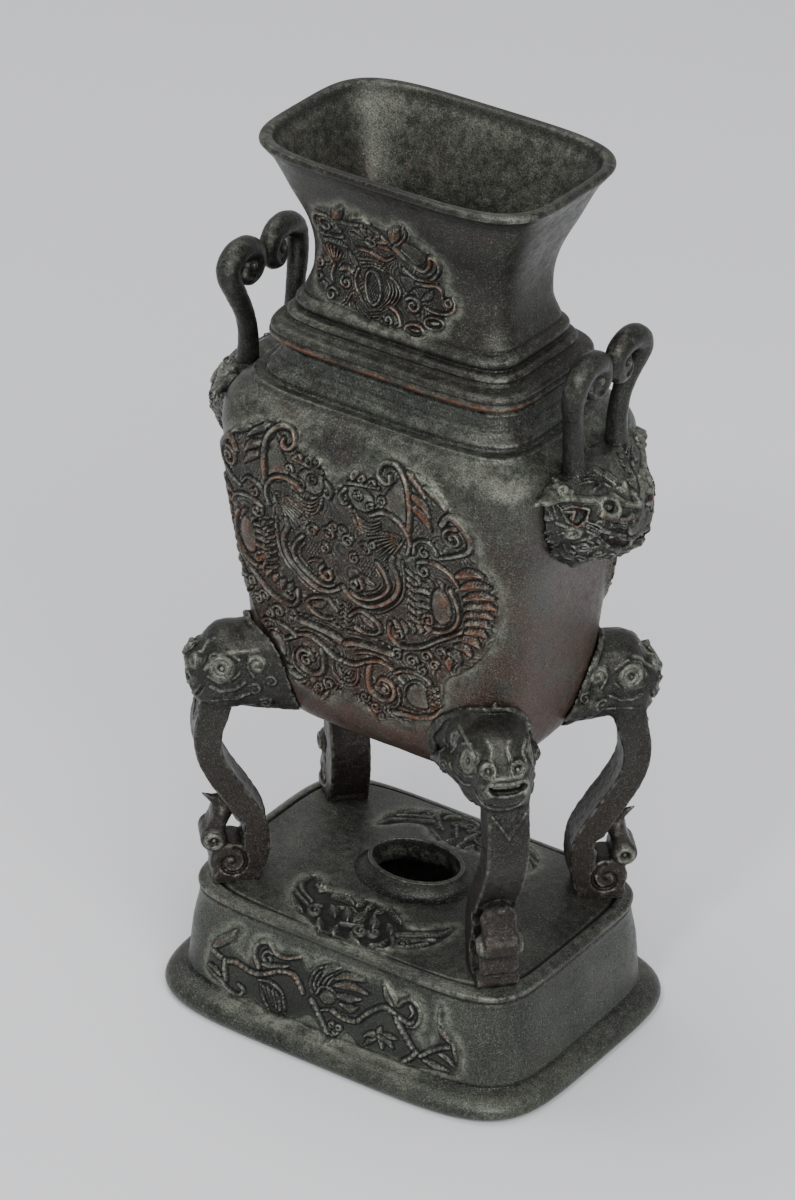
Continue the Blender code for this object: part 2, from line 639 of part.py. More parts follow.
def leg_point(r, side, z):
    """A point in a leg's own frame: r outward from the end of its foot, side across it."""
    way_x, way_y = math.cos(LEG_ANGLE), -math.sin(LEG_ANGLE)
    return (FOOT_X + r * way_x + side * -way_y, -FOOT_Y + r * way_y + side * way_x, z)


def leg_height(units):
    """Height of a point on a leg, in hundredths of the way from the plinth to the body."""
    return PLINTH_HEIGHT + units * LEG_UNIT


def ribbon(name, stations, width, edge):
    """A flat-sided band along a curve in the leg's plane: rows of r, height, thickness."""
    line = curve(stations, 3) * LEG_UNIT + (0, PLINTH_HEIGHT, 0)
    along = np.gradient(line[:, :2], axis=0)
    along /= np.linalg.norm(along, axis=1, keepdims=True)
    across = np.stack([-along[:, 1], along[:, 0]], 1)
    rings = []
    for (r, z, thick), (nr, nz) in zip(line, across):
        t, w = thick / 2, width / 2
        corner = min(edge, 0.45 * thick)
        shape = [(t, w - corner), (t, corner - w), (t - corner, -w), (corner - t, -w),
                 (-t, corner - w), (-t, w - corner), (corner - t, w), (t - corner, w)]
        rings.append([leg_point(r + nr * n, s, z + nz * n) for n, s in shape])
    return loft(name, rings, "capped")


def disc(name, r, z, radius, width, count=16):
    """A round boss across the leg, a little crowned on its faces."""
    r, z = r * LEG_UNIT, leg_height(z)
    rings = []
    for grow, side in ((0.72, -0.55), (1.0, -0.42), (1.0, 0.42), (0.72, 0.55)):
        ring = []
        for angle in np.arange(count) / count * 2 * math.pi:
            reach = radius * grow
            ring.append(leg_point(r + reach * math.cos(angle), width * side,
                                  z + reach * math.sin(angle)))
        rings.append(ring)
    return loft(name, rings, "capped")


def facing_out(mesh):
    """Turn every face of a closed mesh outward."""
    work = bmesh.new()
    work.from_mesh(mesh)
    bmesh.ops.recalc_face_normals(work, faces=work.faces)
    work.to_mesh(mesh)
    work.free()
    return mesh


def beast_head(count=20):
    """The leg's lion head: rows along the leg's plane, from the body to the muzzle."""
    rows = ((-38.3, 108.0, 148.0, 0.70), (-24.0, 110.0, 158.5, 0.93), (-18.4, 111.0, 159.5, 1.00),
            (-15.7, 113.0, 155.0, 0.89), (-8.0, 115.0, 151.0, 0.70), (0.0, 117.0, 148.0, 0.62),
            (5.8, 119.5, 144.0, 0.52), (11.2, 123.0, 139.5, 0.44), (14.1, 127.0, 135.5, 0.32))
    rings = []
    for r, low, high, share in rows:
        half = share * LEG_HEAD_HALF_WIDTH
        middle, reach = leg_height((low + high) / 2), (high - low) / 2 * LEG_UNIT
        ring = []
        for k in range(count):
            angle = 2 * math.pi * (k + 0.5) / count
            brow = 1 + 0.10 * math.cos(6 * angle) * (r > -12)
            side = half * brow * math.cos(angle) - LEG_COLLAR_SHIFT * (r < -12)
            ring.append(leg_point(r * LEG_UNIT, side, middle + reach * math.sin(angle)))
        rings.append(ring)
    return facing_out(loft("Head", rings, "capped"))


def make_legs(material, body_gap, plinth_gap):
    """Four legs: an S-shaped band with a lion head above and a scrolled foot below."""
    spine = ((-0.8, 129.0, 19.2), (2.4, 111.0, 16.9), (5.4, 96.0, 14.4), (4.6, 82.0, 13.4),
             (-1.9, 68.0, 13.7), (-11.2, 53.0, 14.7), (-18.8, 38.0, 15.3), (-20.6, 23.0, 14.7),
             (-17.6, 10.0, 13.7), (-9.6, 4.0, 12.8), (-2.4, 6.0, 10.5))
    tendril = ((-7.2, 25.0, 8.0), (0.3, 33.0, 7.0), (3.5, 41.0, 5.4), (5.8, 50.0, 1.9))
    first = place("Leg master", facing_out(ribbon("Spine", spine, LEG_WIDTH, LEG_EDGE)), material)
    parts = [
        disc("Foot scroll", -9.3, 15.5, FOOT_SCROLL_RADIUS, LEG_WIDTH),
        ribbon("Tendril", tendril, TENDRIL_WIDTH, LEG_EDGE / 2),
        disc("Tendril scroll", 3.8, 27.0, TENDRIL_SCROLL_RADIUS, TENDRIL_WIDTH, 12),
        beast_head(),
    ]
    tools = [guide(mesh.name, facing_out(mesh)) for mesh in parts]
    for tool in tools:
        boolean(first, tool, "UNION")
    boolean(first, body_gap, "DIFFERENCE")
    boolean(first, plinth_gap, "DIFFERENCE")
    thin_out(first, LEG_TRIANGLES)
    mesh = settled_mesh(first, "Leg")
    place_mirrored("Leg", mesh, material)
    for spare in tools + [first]:
        bpy.data.objects.remove(spare)


def place_mirrored(name, mesh, material):
    """Place a leg and its mirror images at the four corners."""
    for front, y_way in (("front", 1), ("back", -1)):
        for hand, x_way in (("right", 1), ("left", -1)):
            copy = mesh.copy()
            for vertex in copy.vertices:
                vertex.co.x *= x_way
                vertex.co.y *= y_way
            place(name + "_" + front + "_" + hand, facing_out(copy), material)


def tube(name, stations, count=10):
    """A round bar through rows of x, y, z and radius."""
    line = curve(stations, 4)
    rings = []
    for i, (x, y, z, radius) in enumerate(line):
        ahead = Vector(line[min(i + 1, len(line) - 1)][:3]) - Vector(line[max(i - 1, 0)][:3])
        ahead.normalize()
        side = ahead.cross(Vector((1, 0, 0))).normalized()
        front = side.cross(ahead)
        ring = []
        for angle in np.arange(count) / count * 2 * math.pi:
            way = side * math.cos(angle) + front * math.sin(angle)
            ring.append(tuple(Vector((x, y, z)) + way * radius))
        rings.append(ring)
    return facing_out(loft(name, rings, "capped"))


def handle_bar(hand):
    """One bar of a handle, from the mask up and over to its scroll; hand is -1 at the front."""
    spread, reach, rise = HANDLE_BAR_SPREAD, HANDLE_REACH, HANDLE_BAR_HEIGHT
    foot, r = HANDLE_FOOT_HEIGHT, HANDLE_BAR_RADIUS
    rows = ((0.00, 0.78, -0.20, 1.25), (-0.14, 0.80, 0.02, 1.10), (-0.57, 0.82, 0.27, 1.00),
            (-0.49, 0.90, 0.54, 1.00), (-0.06, 1.00, 0.80, 1.08), (0.23, 0.90, 0.97, 1.20),
            (0.34, 0.58, 1.02, 1.28), (0.29, 0.29, 0.90, 1.22), (0.23, 0.28, 0.74, 1.05))
    return tube("Bar", [(reach + r * dx, hand * spread * dy, foot + rise * dz, r * dr)
                        for dx, dy, dz, dr in rows])


def handle_scroll(hand, count=12):
    """The round scroll that ends a bar, turned about X."""
    y = hand * HANDLE_BAR_SPREAD * 0.36
    z = HANDLE_FOOT_HEIGHT + HANDLE_BAR_HEIGHT * 0.80
    radius = HANDLE_BAR_RADIUS * 1.45
    rings = []
    for grow, dx in ((0.6, -1.25), (1.0, -0.8), (1.0, 0.8), (0.6, 1.25)):
        ring = []
        for angle in np.arange(count) / count * 2 * math.pi:
            ring.append((HANDLE_REACH + (0.29 + dx) * HANDLE_BAR_RADIUS,
                         y + radius * grow * math.cos(angle), z + radius * grow * math.sin(angle)))
        rings.append(ring)
    return facing_out(loft("Bar scroll", rings, "capped"))


def handle_mask(count=24):
    """The beast mask under a handle: rows out from the shoulder to the snout."""
    rows = ((-0.10, 0.83, -0.72, 0.14), (0.06, 1.00, -0.77, 0.13), (0.22, 0.90, -0.81, 0.06),
            (0.42, 0.73, -0.84, 0.00), (0.62, 0.58, -0.86, -0.13), (0.80, 0.44, -0.83, -0.27),
            (0.93, 0.33, -0.75, -0.38), (1.00, 0.19, -0.67, -0.47))
    wide, tall = HANDLE_MASK_HALF_WIDTH, HANDLE_MASK_HEIGHT
    start = BODY_HALF_LENGTH - HANDLE_MASK_DEPTH / 20
    rings = []
    for share, half, low, high in rows:
        middle, reach = (low + high) / 2, (high - low) / 2
        ring = []
        for k in range(count):
            angle = 2 * math.pi * (k + 0.5) / count
            c, s = math.cos(angle), math.sin(angle)
            ear = 1 + 0.30 * max(0, math.cos(angle * 2)) ** 3 * (share < 0.2)
            brow = 1 + 0.07 * math.cos(6 * angle) * (share > 0.2)
            side = half * ear * brow * math.copysign(abs(c) ** 0.8, c)
            rise = middle + reach * brow * math.copysign(abs(s) ** 0.8, s)
            ring.append((start + share * HANDLE_MASK_DEPTH, wide * side,
                         HANDLE_FOOT_HEIGHT + tall * rise))
        rings.append(ring)
    return facing_out(loft("Mask", rings, "capped"))


def make_handles(material, body_gap):
    """Two handles, one on each narrow side."""
    first = place("Handle master", handle_mask(), material)
    tools = []
    for hand in (-1, 1):
        tools.append(guide("Bar " + str(hand), handle_bar(hand)))
        tools.append(guide("Bar scroll " + str(hand), handle_scroll(hand)))
    for tool in tools:
        boolean(first, tool, "UNION")
    boolean(first, body_gap, "DIFFERENCE")
    thin_out(first, HANDLE_TRIANGLES)
    mesh = settled_mesh(first, "Handle")
    place("Handle_right", mesh, material)
    copy = mesh.copy()
    for vertex in copy.vertices:
        vertex.co.x *= -1
    place("Handle_left", facing_out(copy), material)
    for spare in tools + [first]:
        bpy.data.objects.remove(spare)


def main():
    for thing in list(bpy.data.objects):
        bpy.data.objects.remove(thing)
    body_gap = clearance_of_body()
    plinth_gap = clearance_of_plinth()
    make_plinth(bronze("Plinth bronze", (0.045, 0.046, 0.040), 0.50))
    make_legs(bronze("Leg bronze", (0.040, 0.040, 0.036), 0.42), body_gap, plinth_gap)
    make_body(bronze("Body bronze", (0.050, 0.040, 0.036), 0.42))
    make_neck(bronze("Neck bronze", (0.038, 0.036, 0.032), 0.42))
    make_handles(bronze("Handle bronze", (0.036, 0.034, 0.032), 0.40), body_gap)


main()
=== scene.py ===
"""Cast bronze vase: the carved surface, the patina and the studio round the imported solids.

Shapes are worked out in millimetres, +Z up, origin on the ground under the plinth.
The front, with the two phoenixes, looks along -Y, and the handles stand on -X and +X.
"""
import json
import math

import bpy
import numpy as np
from mathutils import Matrix, Vector

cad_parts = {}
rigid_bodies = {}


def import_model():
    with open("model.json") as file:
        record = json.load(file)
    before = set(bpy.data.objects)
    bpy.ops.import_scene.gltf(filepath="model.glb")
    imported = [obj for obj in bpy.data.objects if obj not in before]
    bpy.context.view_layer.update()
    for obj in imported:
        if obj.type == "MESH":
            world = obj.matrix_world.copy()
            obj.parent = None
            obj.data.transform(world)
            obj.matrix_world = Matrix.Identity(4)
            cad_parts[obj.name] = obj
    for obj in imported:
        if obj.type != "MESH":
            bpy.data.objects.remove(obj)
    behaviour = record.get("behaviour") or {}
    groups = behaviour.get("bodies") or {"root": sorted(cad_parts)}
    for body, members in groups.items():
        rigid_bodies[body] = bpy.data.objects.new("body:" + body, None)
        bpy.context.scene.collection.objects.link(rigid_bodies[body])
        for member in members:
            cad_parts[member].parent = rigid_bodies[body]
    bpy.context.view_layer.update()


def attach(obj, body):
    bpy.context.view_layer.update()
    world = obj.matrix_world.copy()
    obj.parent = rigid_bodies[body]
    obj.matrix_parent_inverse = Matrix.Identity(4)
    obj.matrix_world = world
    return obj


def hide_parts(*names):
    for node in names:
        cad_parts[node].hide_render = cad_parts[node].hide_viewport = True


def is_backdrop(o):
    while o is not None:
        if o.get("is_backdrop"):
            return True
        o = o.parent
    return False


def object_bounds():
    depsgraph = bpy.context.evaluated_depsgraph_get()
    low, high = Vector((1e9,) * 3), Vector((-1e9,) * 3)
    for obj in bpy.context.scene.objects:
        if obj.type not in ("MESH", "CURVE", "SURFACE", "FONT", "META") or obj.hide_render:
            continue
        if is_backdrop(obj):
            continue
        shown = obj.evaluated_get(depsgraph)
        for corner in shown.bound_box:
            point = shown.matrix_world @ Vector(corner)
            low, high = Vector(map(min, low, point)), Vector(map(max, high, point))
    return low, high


MM = 0.001

# Heights
PLINTH_HEIGHT = 43.4
PLINTH_DOME = 3.6
LEG_RISE = 62.6
BODY_HEIGHT = 142.6
NECK_HEIGHT = 71.1
GAP = 0.3

# Half lengths along X, and how much shorter the sections are along Y
FOOT_HALF_LENGTH = 77.0
PLINTH_HALF_LENGTH = 66.4
BODY_HALF_LENGTH = 62.0
NECK_HALF_LENGTH = 37.7
RIM_HALF_LENGTH = 54.3
LENGTH_LESS_WIDTH = 18.7
NECK_LESS_WIDTH = 18.2
FOOT_LESS_WIDTH = 17.35

# Walls, rims and edges
WALL = 3.0
NECK_WALL = 2.8
FLANGE_HEIGHT = 8.2
PLINTH_EDGE = 0.7
LIP_HEIGHT = 2.4
LIP_EDGE = 0.6
OVAL_HALF_LENGTH = 17.7
OVAL_HALF_WIDTH = 13.6
OVAL_COLLAR_HEIGHT = 5.5
OVAL_WALL = 1.5
OVAL_FLARE = 4.2

# Where a leg stands: the outer end of its foot, and the way its plane runs; then its head's middle, the
# collar behind it, and the gap that a casting keeps from the body
FOOT_X = PLINTH_HALF_LENGTH - 9.2
FOOT_Y = PLINTH_HALF_LENGTH - LENGTH_LESS_WIDTH - 11.2
LEG_ANGLE = math.radians(42.0)
LEG_HALF_WIDTH = 6.7
HEAD_SHIFT = -2.1
HEAD_MIDDLE = 128.8
COLLAR_MIDDLE, COLLAR_HALF_HEIGHT, COLLAR_REACH = -0.9, 17.2, 14.2
LEFT_COLLAR_REACH, RIGHT_COLLAR_REACH = 11.6, 18.6
CONTACT_GAP = 0.55
# How far out the snout goes at each height
SNOUT = ((112, 3.0), (116, 6.0), (119.5, 8.4), (122.5, 9.9), (124.5, 10.6), (127.0, 9.0), (129.4, 11.0),
         (132.0, 11.4), (134.2, 9.6), (136.5, 8.2), (139.5, 6.4), (143, 3.4), (147, 0.0), (151, -3.0))

# The beast mask: how far out it may go, and how deep and how wide it is at each height
HANDLE_REACH = 82.1
MASK_DEPTH = ((190, 1), (194, 5), (196, 11), (198, 14.5), (200, 16.8), (203.5, 20.0), (208, 21.2),
              (213.5, 21.2), (217, 20), (220.5, 17.5), (224.5, 14), (228, 9.5), (230.5, 5.5), (232, 1),
              (236, 0))
MASK_WIDTH = ((190, 6), (194, 9), (197, 15), (200, 18), (205, 21), (210, 24), (215, 25.5), (220, 26.5),
              (225, 26.5), (229, 24), (232, 19), (236, 12))

# Levels that follow
PLINTH_TOP = PLINTH_HEIGHT + PLINTH_DOME
BODY_BASE = PLINTH_HEIGHT + LEG_RISE
BODY_TOP = BODY_BASE + BODY_HEIGHT
NECK_BASE = BODY_TOP + GAP

# Section shapes: the power of each rounded oblong
BODY_POWER, NECK_POWER, RIM_POWER = 5.2, 5.6, 4.2
PLINTH_POWER, FOOT_POWER, OVAL_POWER = 6.0, 4.8, 2.0

# Carved panels: their middles and how far they stand out
PHOENIX_SHIFT, PHOENIX_MIDDLE, PHOENIX_DEPTH = -6.0, 177.5, 2.1
FLOWER_SHIFT, FLOWER_MIDDLE, FLOWER_DEPTH = -6.0, 285.0, 1.6
VINE_MIDDLE, VINE_DEPTH = 22.0, 1.5
CRESCENT_MIDDLE, CRESCENT_DEPTH = 33.5, 1.7

# Fine beads and grooves round the mouldings: height, rise, half width
BODY_LINES = ((247.6, -0.75, 0.75), (235.6, 0.70, 0.6), (236.9, -0.65, 0.5), (241.0, 0.25, 0.5),
              (242.2, -0.25, 0.5), (245.2, -0.18, 0.4), (246.4, 0.15, 0.5))
NECK_LINES = ((252.4, -0.60, 0.45), (250.6, 0.20, 0.7), (254.4, 0.45, 1.0), (257.0, -0.55, 0.45),
              (260.3, -0.75, 0.50), (262.6, 0.85, 1.30), (265.2, -0.60, 0.60))
PLINTH_LINES = ((9.6, -0.55, 0.6), (40.2, -0.70, 0.55), (42.3, 0.40, 0.8))
COPPER_LINE, COPPER_LINE_HALF_WIDTH, COPPER_LINE_REACH = 250.4, 1.6, 62

# Steps between the rows of points up a carved wall and a plain one, and the part of a face that a panel
# may cover, from its middle
FINE_ROW, COARSE_ROW = 0.38, 1.0
SHEET_REACH, SHEET_RISE = 68, 58

# The groove round the edge of the plinth's top: its row of points and its depth
GROOVE_ROW, GROOVE_DEPTH = 5.0, 0.95

# The round patch on the body's corner that a leg's collar covers, where nothing is carved
LEG_PATCH_X, LEG_PATCH_HEIGHT, LEG_PATCH_RADIUS = 52.0, 128.5, 21.0

# Triangles left on each casting
BODY_TRIANGLES, NECK_TRIANGLES, PLINTH_TRIANGLES = 190000, 110000, 180000
LEG_TRIANGLES, HANDLE_TRIANGLES = 70000, 76000

# Profiles: share of a piece's height, and share of its half length
BODY_PROFILE = (
    (0.000, 0.36), (0.006, 0.52), (0.028, 0.655), (0.065, 0.745), (0.113, 0.803),
    (0.182, 0.845), (0.273, 0.869), (0.379, 0.889), (0.484, 0.913), (0.589, 0.946),
    (0.694, 0.980), (0.757, 0.995), (0.806, 1.000), (0.845, 0.988), (0.877, 0.948),
    (0.900, 0.892), (0.914, 0.848), (0.919, 0.819), (0.929, 0.806), (0.945, 0.775),
    (0.966, 0.752), (1.000, 0.742),
)
NECK_LOWER_ROLL = (
    (0.000, 0.996), (0.006, 1.045), (0.030, 1.070), (0.058, 1.066), (0.080, 1.037),
    (0.092, 0.988), (0.100, 0.971),
)
NECK_UPPER_ROLL = (
    (0.112, 0.854), (0.130, 0.827), (0.146, 0.727), (0.156, 0.568), (0.190, 0.490),
    (0.240, 0.295),
)
NECK_FLARE = (
    (0.330, 0.023), (0.400, 0.000), (0.470, 0.014), (0.540, 0.073), (0.620, 0.186),
    (0.760, 0.466), (0.890, 0.727), (0.945, 0.897),
)
FLANGE_PROFILE = (
    (0.00, 0.37), (0.10, 0.17), (0.27, 0.02), (0.46, 0.00), (0.68, 0.085), (0.88, 0.29),
    (1.00, 0.54),
)
PLINTH_WALL_PROFILE = (
    (0.205, 1.070), (0.270, 1.054), (0.430, 1.040), (0.640, 1.022), (0.840, 1.000),
    (0.900, 0.999), (0.945, 1.003), (0.975, 0.999), (1.000, 0.983),
)

# Colours that the castings share
PALE_DUST = (0.205, 0.218, 0.176)
BROWN = (0.066, 0.033, 0.024)
COPPER = (0.150, 0.056, 0.027)
# Dark tint that paints shade into sunk grounds, grooves and crescents, and also darkens the rim and the
# handles' tops
RECESS_SHADE_AND_DARK_PATINA = (0.012, 0.013, 0.011)
# Near-black tint that paints shade into creases
CREASE_SHADE = (0.008, 0.009, 0.008)
PIT = (0.012, 0.013, 0.012)
# Pale tint for worn sharp edges, which also stands in for painted glints
WORN_EDGE_AND_GLINT = (0.300, 0.305, 0.262)
METAL, SPECULAR, ROUGH_SPREAD = 0.55, 0.3, (-0.12, 0.16)

# Studio: half length of the floor, its colour, the world's, and the lights' place, size and power
FLOOR_REACH = 30.0
FLOOR_COLOR = (0.76, 0.768, 0.79)
WORLD_COLOR, WORLD_STRENGTH = (0.92, 0.915, 0.935), 0.62
LIGHT_TARGET = (0, 0, 0.15)
LIGHTS = (
    ("Key", (-0.6, 0.0, 2.0), 1.2, 17.0),
    ("Fill", (1.3, -1.1, 1.3), 1.3, 30.0),
    ("Spark", (0.2, -1.2, 1.5), 0.22, 8.0),
)


def curve(points, steps=6):
    """A smooth line through the points, with steps stretches between each two."""
    p = np.array(points, float)
    ends = np.vstack([2 * p[0] - p[1], p, 2 * p[-1] - p[-2]])
    line = []
    for i in range(len(p) - 1):
        a, b, c, d = ends[i:i + 4]
        for t in np.arange(steps) / steps:
            line.append(0.5 * (2 * b + (c - a) * t + (2 * a - 5 * b + 4 * c - d) * t ** 2
                               + (3 * b - a - 3 * c + d) * t ** 3))
    line.append(p[-1])
    return np.array(line)


def smooth(line):
    """The line as points: a list of a few points is smoothed, and any other line stays."""
    return curve(line) if isinstance(line, list) else line


def scroll(x, y, radius, start, turns=1.3, hand=1, steps=22):
    """A spiral that winds in to (x, y) from the start angle, in degrees."""
    t = np.linspace(0, 1, steps)
    angle = math.radians(start) + hand * 2 * math.pi * turns * t
    reach = radius * (1 - 0.85 * t)
    return np.stack([x + reach * np.cos(angle), y + reach * np.sin(angle)], 1)


def oval(x, y, rx, ry, turn=0.0, steps=20):
    """A closed oval round (x, y), turned by an angle in degrees."""
    t = np.linspace(0, 2 * math.pi, steps)
    c, s = math.cos(math.radians(turn)), math.sin(math.radians(turn))
    px, py = rx * np.cos(t), ry * np.sin(t)
    return np.stack([x + c * px - s * py, y + s * px + c * py], 1)


def along_line(line, u, v):
    """Distance of each (u, v) to the line, share of the way along it, and which side."""
    best = np.full(u.shape, 1e9)
    along = np.zeros(u.shape)
    side = np.zeros(u.shape)
    last = len(line) - 1
    for i in range(last):
        (ax, ay), (bx, by) = line[i], line[i + 1]
        dx, dy = bx - ax, by - ay
        t = np.clip(((u - ax) * dx + (v - ay) * dy) / max(dx * dx + dy * dy, 1e-9), 0, 1)
        gap = np.hypot(u - ax - t * dx, v - ay - t * dy)
        near = gap < best
        best = np.where(near, gap, best)
        along = np.where(near, (i + t) / last, along)
        side = np.where(near, np.sign(dx * (v - ay) - dy * (u - ax)), side)
    return best, along, side


def inside(outline, u, v):
    """True where (u, v) lies within the closed outline."""
    hit = np.zeros(u.shape, bool)
    for (ax, ay), (bx, by) in zip(outline, np.roll(outline, -1, axis=0)):
        if ay != by:
            hit ^= ((ay > v) != (by > v)) & (u < (bx - ax) * (v - ay) / (by - ay) + ax)
    return hit


def noise(points, size, seed):
    """Smooth noise from -1 to 1 at points in space, with lumps of the given size."""
    p = np.asarray(points, float) / size
    cell = np.floor(p).astype(np.int64)
    f = p - cell
    f = f * f * (3 - 2 * f)
    total = np.zeros(p.shape[:-1])
    for corner in np.ndindex(2, 2, 2):
        k = cell + corner
        mixed = (k[..., 0] * 73856093) ^ (k[..., 1] * 19349663) ^ (k[..., 2] * 83492791) ^ (seed * 2654435)
        mixed = (mixed ^ (mixed >> 13)) * 1274126177 & 0x7fffffff
        value = (mixed ^ (mixed >> 16)) % 65536 / 32767.5 - 1
        share = np.ones(p.shape[:-1])
        for axis, side in enumerate(corner):
            share = share * (f[..., axis] if side else 1 - f[..., axis])
        total += share * value
    return total


class Sheet:
    """A carved panel seen flat, as heights from 0 to 1 over many points (u, v)."""

    def __init__(self, u, v, outline, pad=0.40, edge=0.9):
        """A ground as high as pad inside the outline, with a bevel as wide as edge."""
        self.u, self.v = u, v
        self.outline = curve(list(outline) + list(outline[:1]), 4)
        gap, _, _ = along_line(self.outline, u, v)
        self.within = inside(self.outline, u, v)
        self.edge_gap = np.where(self.within, gap, -gap)
        self.pad = pad * np.clip(self.edge_gap / edge, 0, 1)
        self.height = self.pad.copy()

    def hollow(self):
        """How deep the ground lies between the strokes, from 0 to 1."""
        low = self.pad.max() if self.pad.max() > 0 else 0.05
        return self.within * np.clip(1.15 - (self.height - min(self.pad.min(), 0)) / (abs(low) + 0.12), 0, 1)

    def comb(self, seed, pitch=1.05, height=0.24, count=170):
        """Fine hatching over the ground, turned from patch to patch; strokes go over it."""
        pick = np.random.default_rng(seed)
        low, high = self.outline.min(0), self.outline.max(0)
        places = low + (high - low) * pick.random((count, 2))
        turns = pick.random(count) * math.pi
        k = np.flatnonzero(self.within)
        gap = np.hypot(self.u[k][:, None] - places[:, 0], self.v[k][:, None] - places[:, 1])
        turn, away = turns[gap.argmin(1)], gap.min(1)
        run = self.u[k] * np.cos(turn) + self.v[k] * np.sin(turn) + 0.10 * away ** 2
        wave = 0.5 + 0.5 * np.cos(2 * math.pi * run / pitch)
        self.height[k] += height * wave * np.clip(self.edge_gap[k] / 1.5, 0, 1)

    def near(self, line, reach):
        """Numbers of the points that may lie within reach of the line."""
        low, high = line.min(0) - reach, line.max(0) + reach
        return np.flatnonzero((self.u > low[0]) & (self.u < high[0])
                              & (self.v > low[1]) & (self.v < high[1]))

    def lay(self, k, gap, reach, rise, moat, lowest=-np.inf):
        """Put a stroke on the points k: its rise within reach, and a trench as wide as the moat."""
        top = np.minimum(self.height[k], self.pad[k]) + rise
        trench = np.clip((gap - reach) / moat, 0, 1)
        around = self.height[k] * (0.25 + 0.75 * trench)
        self.height[k] = np.where(gap < reach, np.maximum(top, lowest), around)

    def ridge(self, line, width, height=0.6, taper=0.45, moat=0.55, flat=0.0, split=0.0):
        """A raised stroke with a trench round it; split cuts a groove along its middle."""
        line = smooth(line)
        k = self.near(line, width / 2 + moat)
        if not len(k):
            return
        gap, along, _ = along_line(line, self.u[k], self.v[k])
        reach = width / 2 * (1 - taper * along ** 2)
        inner = np.clip((gap / reach - flat) / (1 - flat), 0, 1)
        shape = (1 - inner ** 1.6) ** 0.85
        if split:
            shape = shape * (1 - split * np.exp(-(gap / (0.16 * width)) ** 2))
        self.lay(k, gap, reach, height * shape, moat, 0.0)

    def leaf(self, line, width, height=0.55, barb=1.05, depth=0.5, lean=0.7, moat=0.5):
        """A pointed leaf or feather, round in section, with slanting cuts from its rib."""
        line = smooth(line)
        k = self.near(line, width / 2 + moat)
        if not len(k):
            return
        gap, along, _ = along_line(line, self.u[k], self.v[k])
        length = np.linalg.norm(np.diff(line, axis=0), axis=1).sum()
        reach = width / 2 * np.clip(np.sin(math.pi * (0.12 + 0.85 * along)), 0.1, 1)
        shape = np.sqrt(np.clip(1 - (gap / reach) ** 2, 0, 1))
        cut = 0.5 + 0.5 * np.cos(2 * math.pi * (along * length - lean * gap) / barb)
        shape = shape * (1 - depth * cut ** 1.5 * (gap > 0.12 * width))
        shape = np.maximum(shape, np.exp(-(gap / (0.10 * width)) ** 2) * (along < 0.93))
        self.lay(k, gap, reach, height * shape, moat)

    def plate(self, outline, height=0.45, dome=2.2):
        """A smooth raised area inside an outline."""
        line = curve(list(outline) + list(outline[:1]), 4)
        k = self.near(line, 0.4)
        gap, _, _ = along_line(line, self.u[k], self.v[k])
        within = inside(line, self.u[k], self.v[k])
        rise = height * np.sqrt(np.clip(gap / dome, 0, 1))
        self.height[k] = np.where(within, self.pad[k] + rise, self.height[k] * np.clip(gap / 0.4, 0.3, 1))

    def dots(self, x, y, rx, ry, pitch=1.15, height=0.35):
        """Rows of small round beads inside an oval."""
        k = np.flatnonzero(((self.u - x) / rx) ** 2 + ((self.v - y) / ry) ** 2 < 1)
        a, b = (self.u[k] - x) / pitch, (self.v[k] - y) / (pitch * 0.86)
        row = np.round(b)
        a = a + 0.5 * (row % 2)
        gap = np.hypot(a - np.round(a), (b - row) * 0.86) / 0.46
        self.height[k] = self.pad[k] * 0.8 + height * np.sqrt(np.clip(1 - gap ** 2, 0, 1))


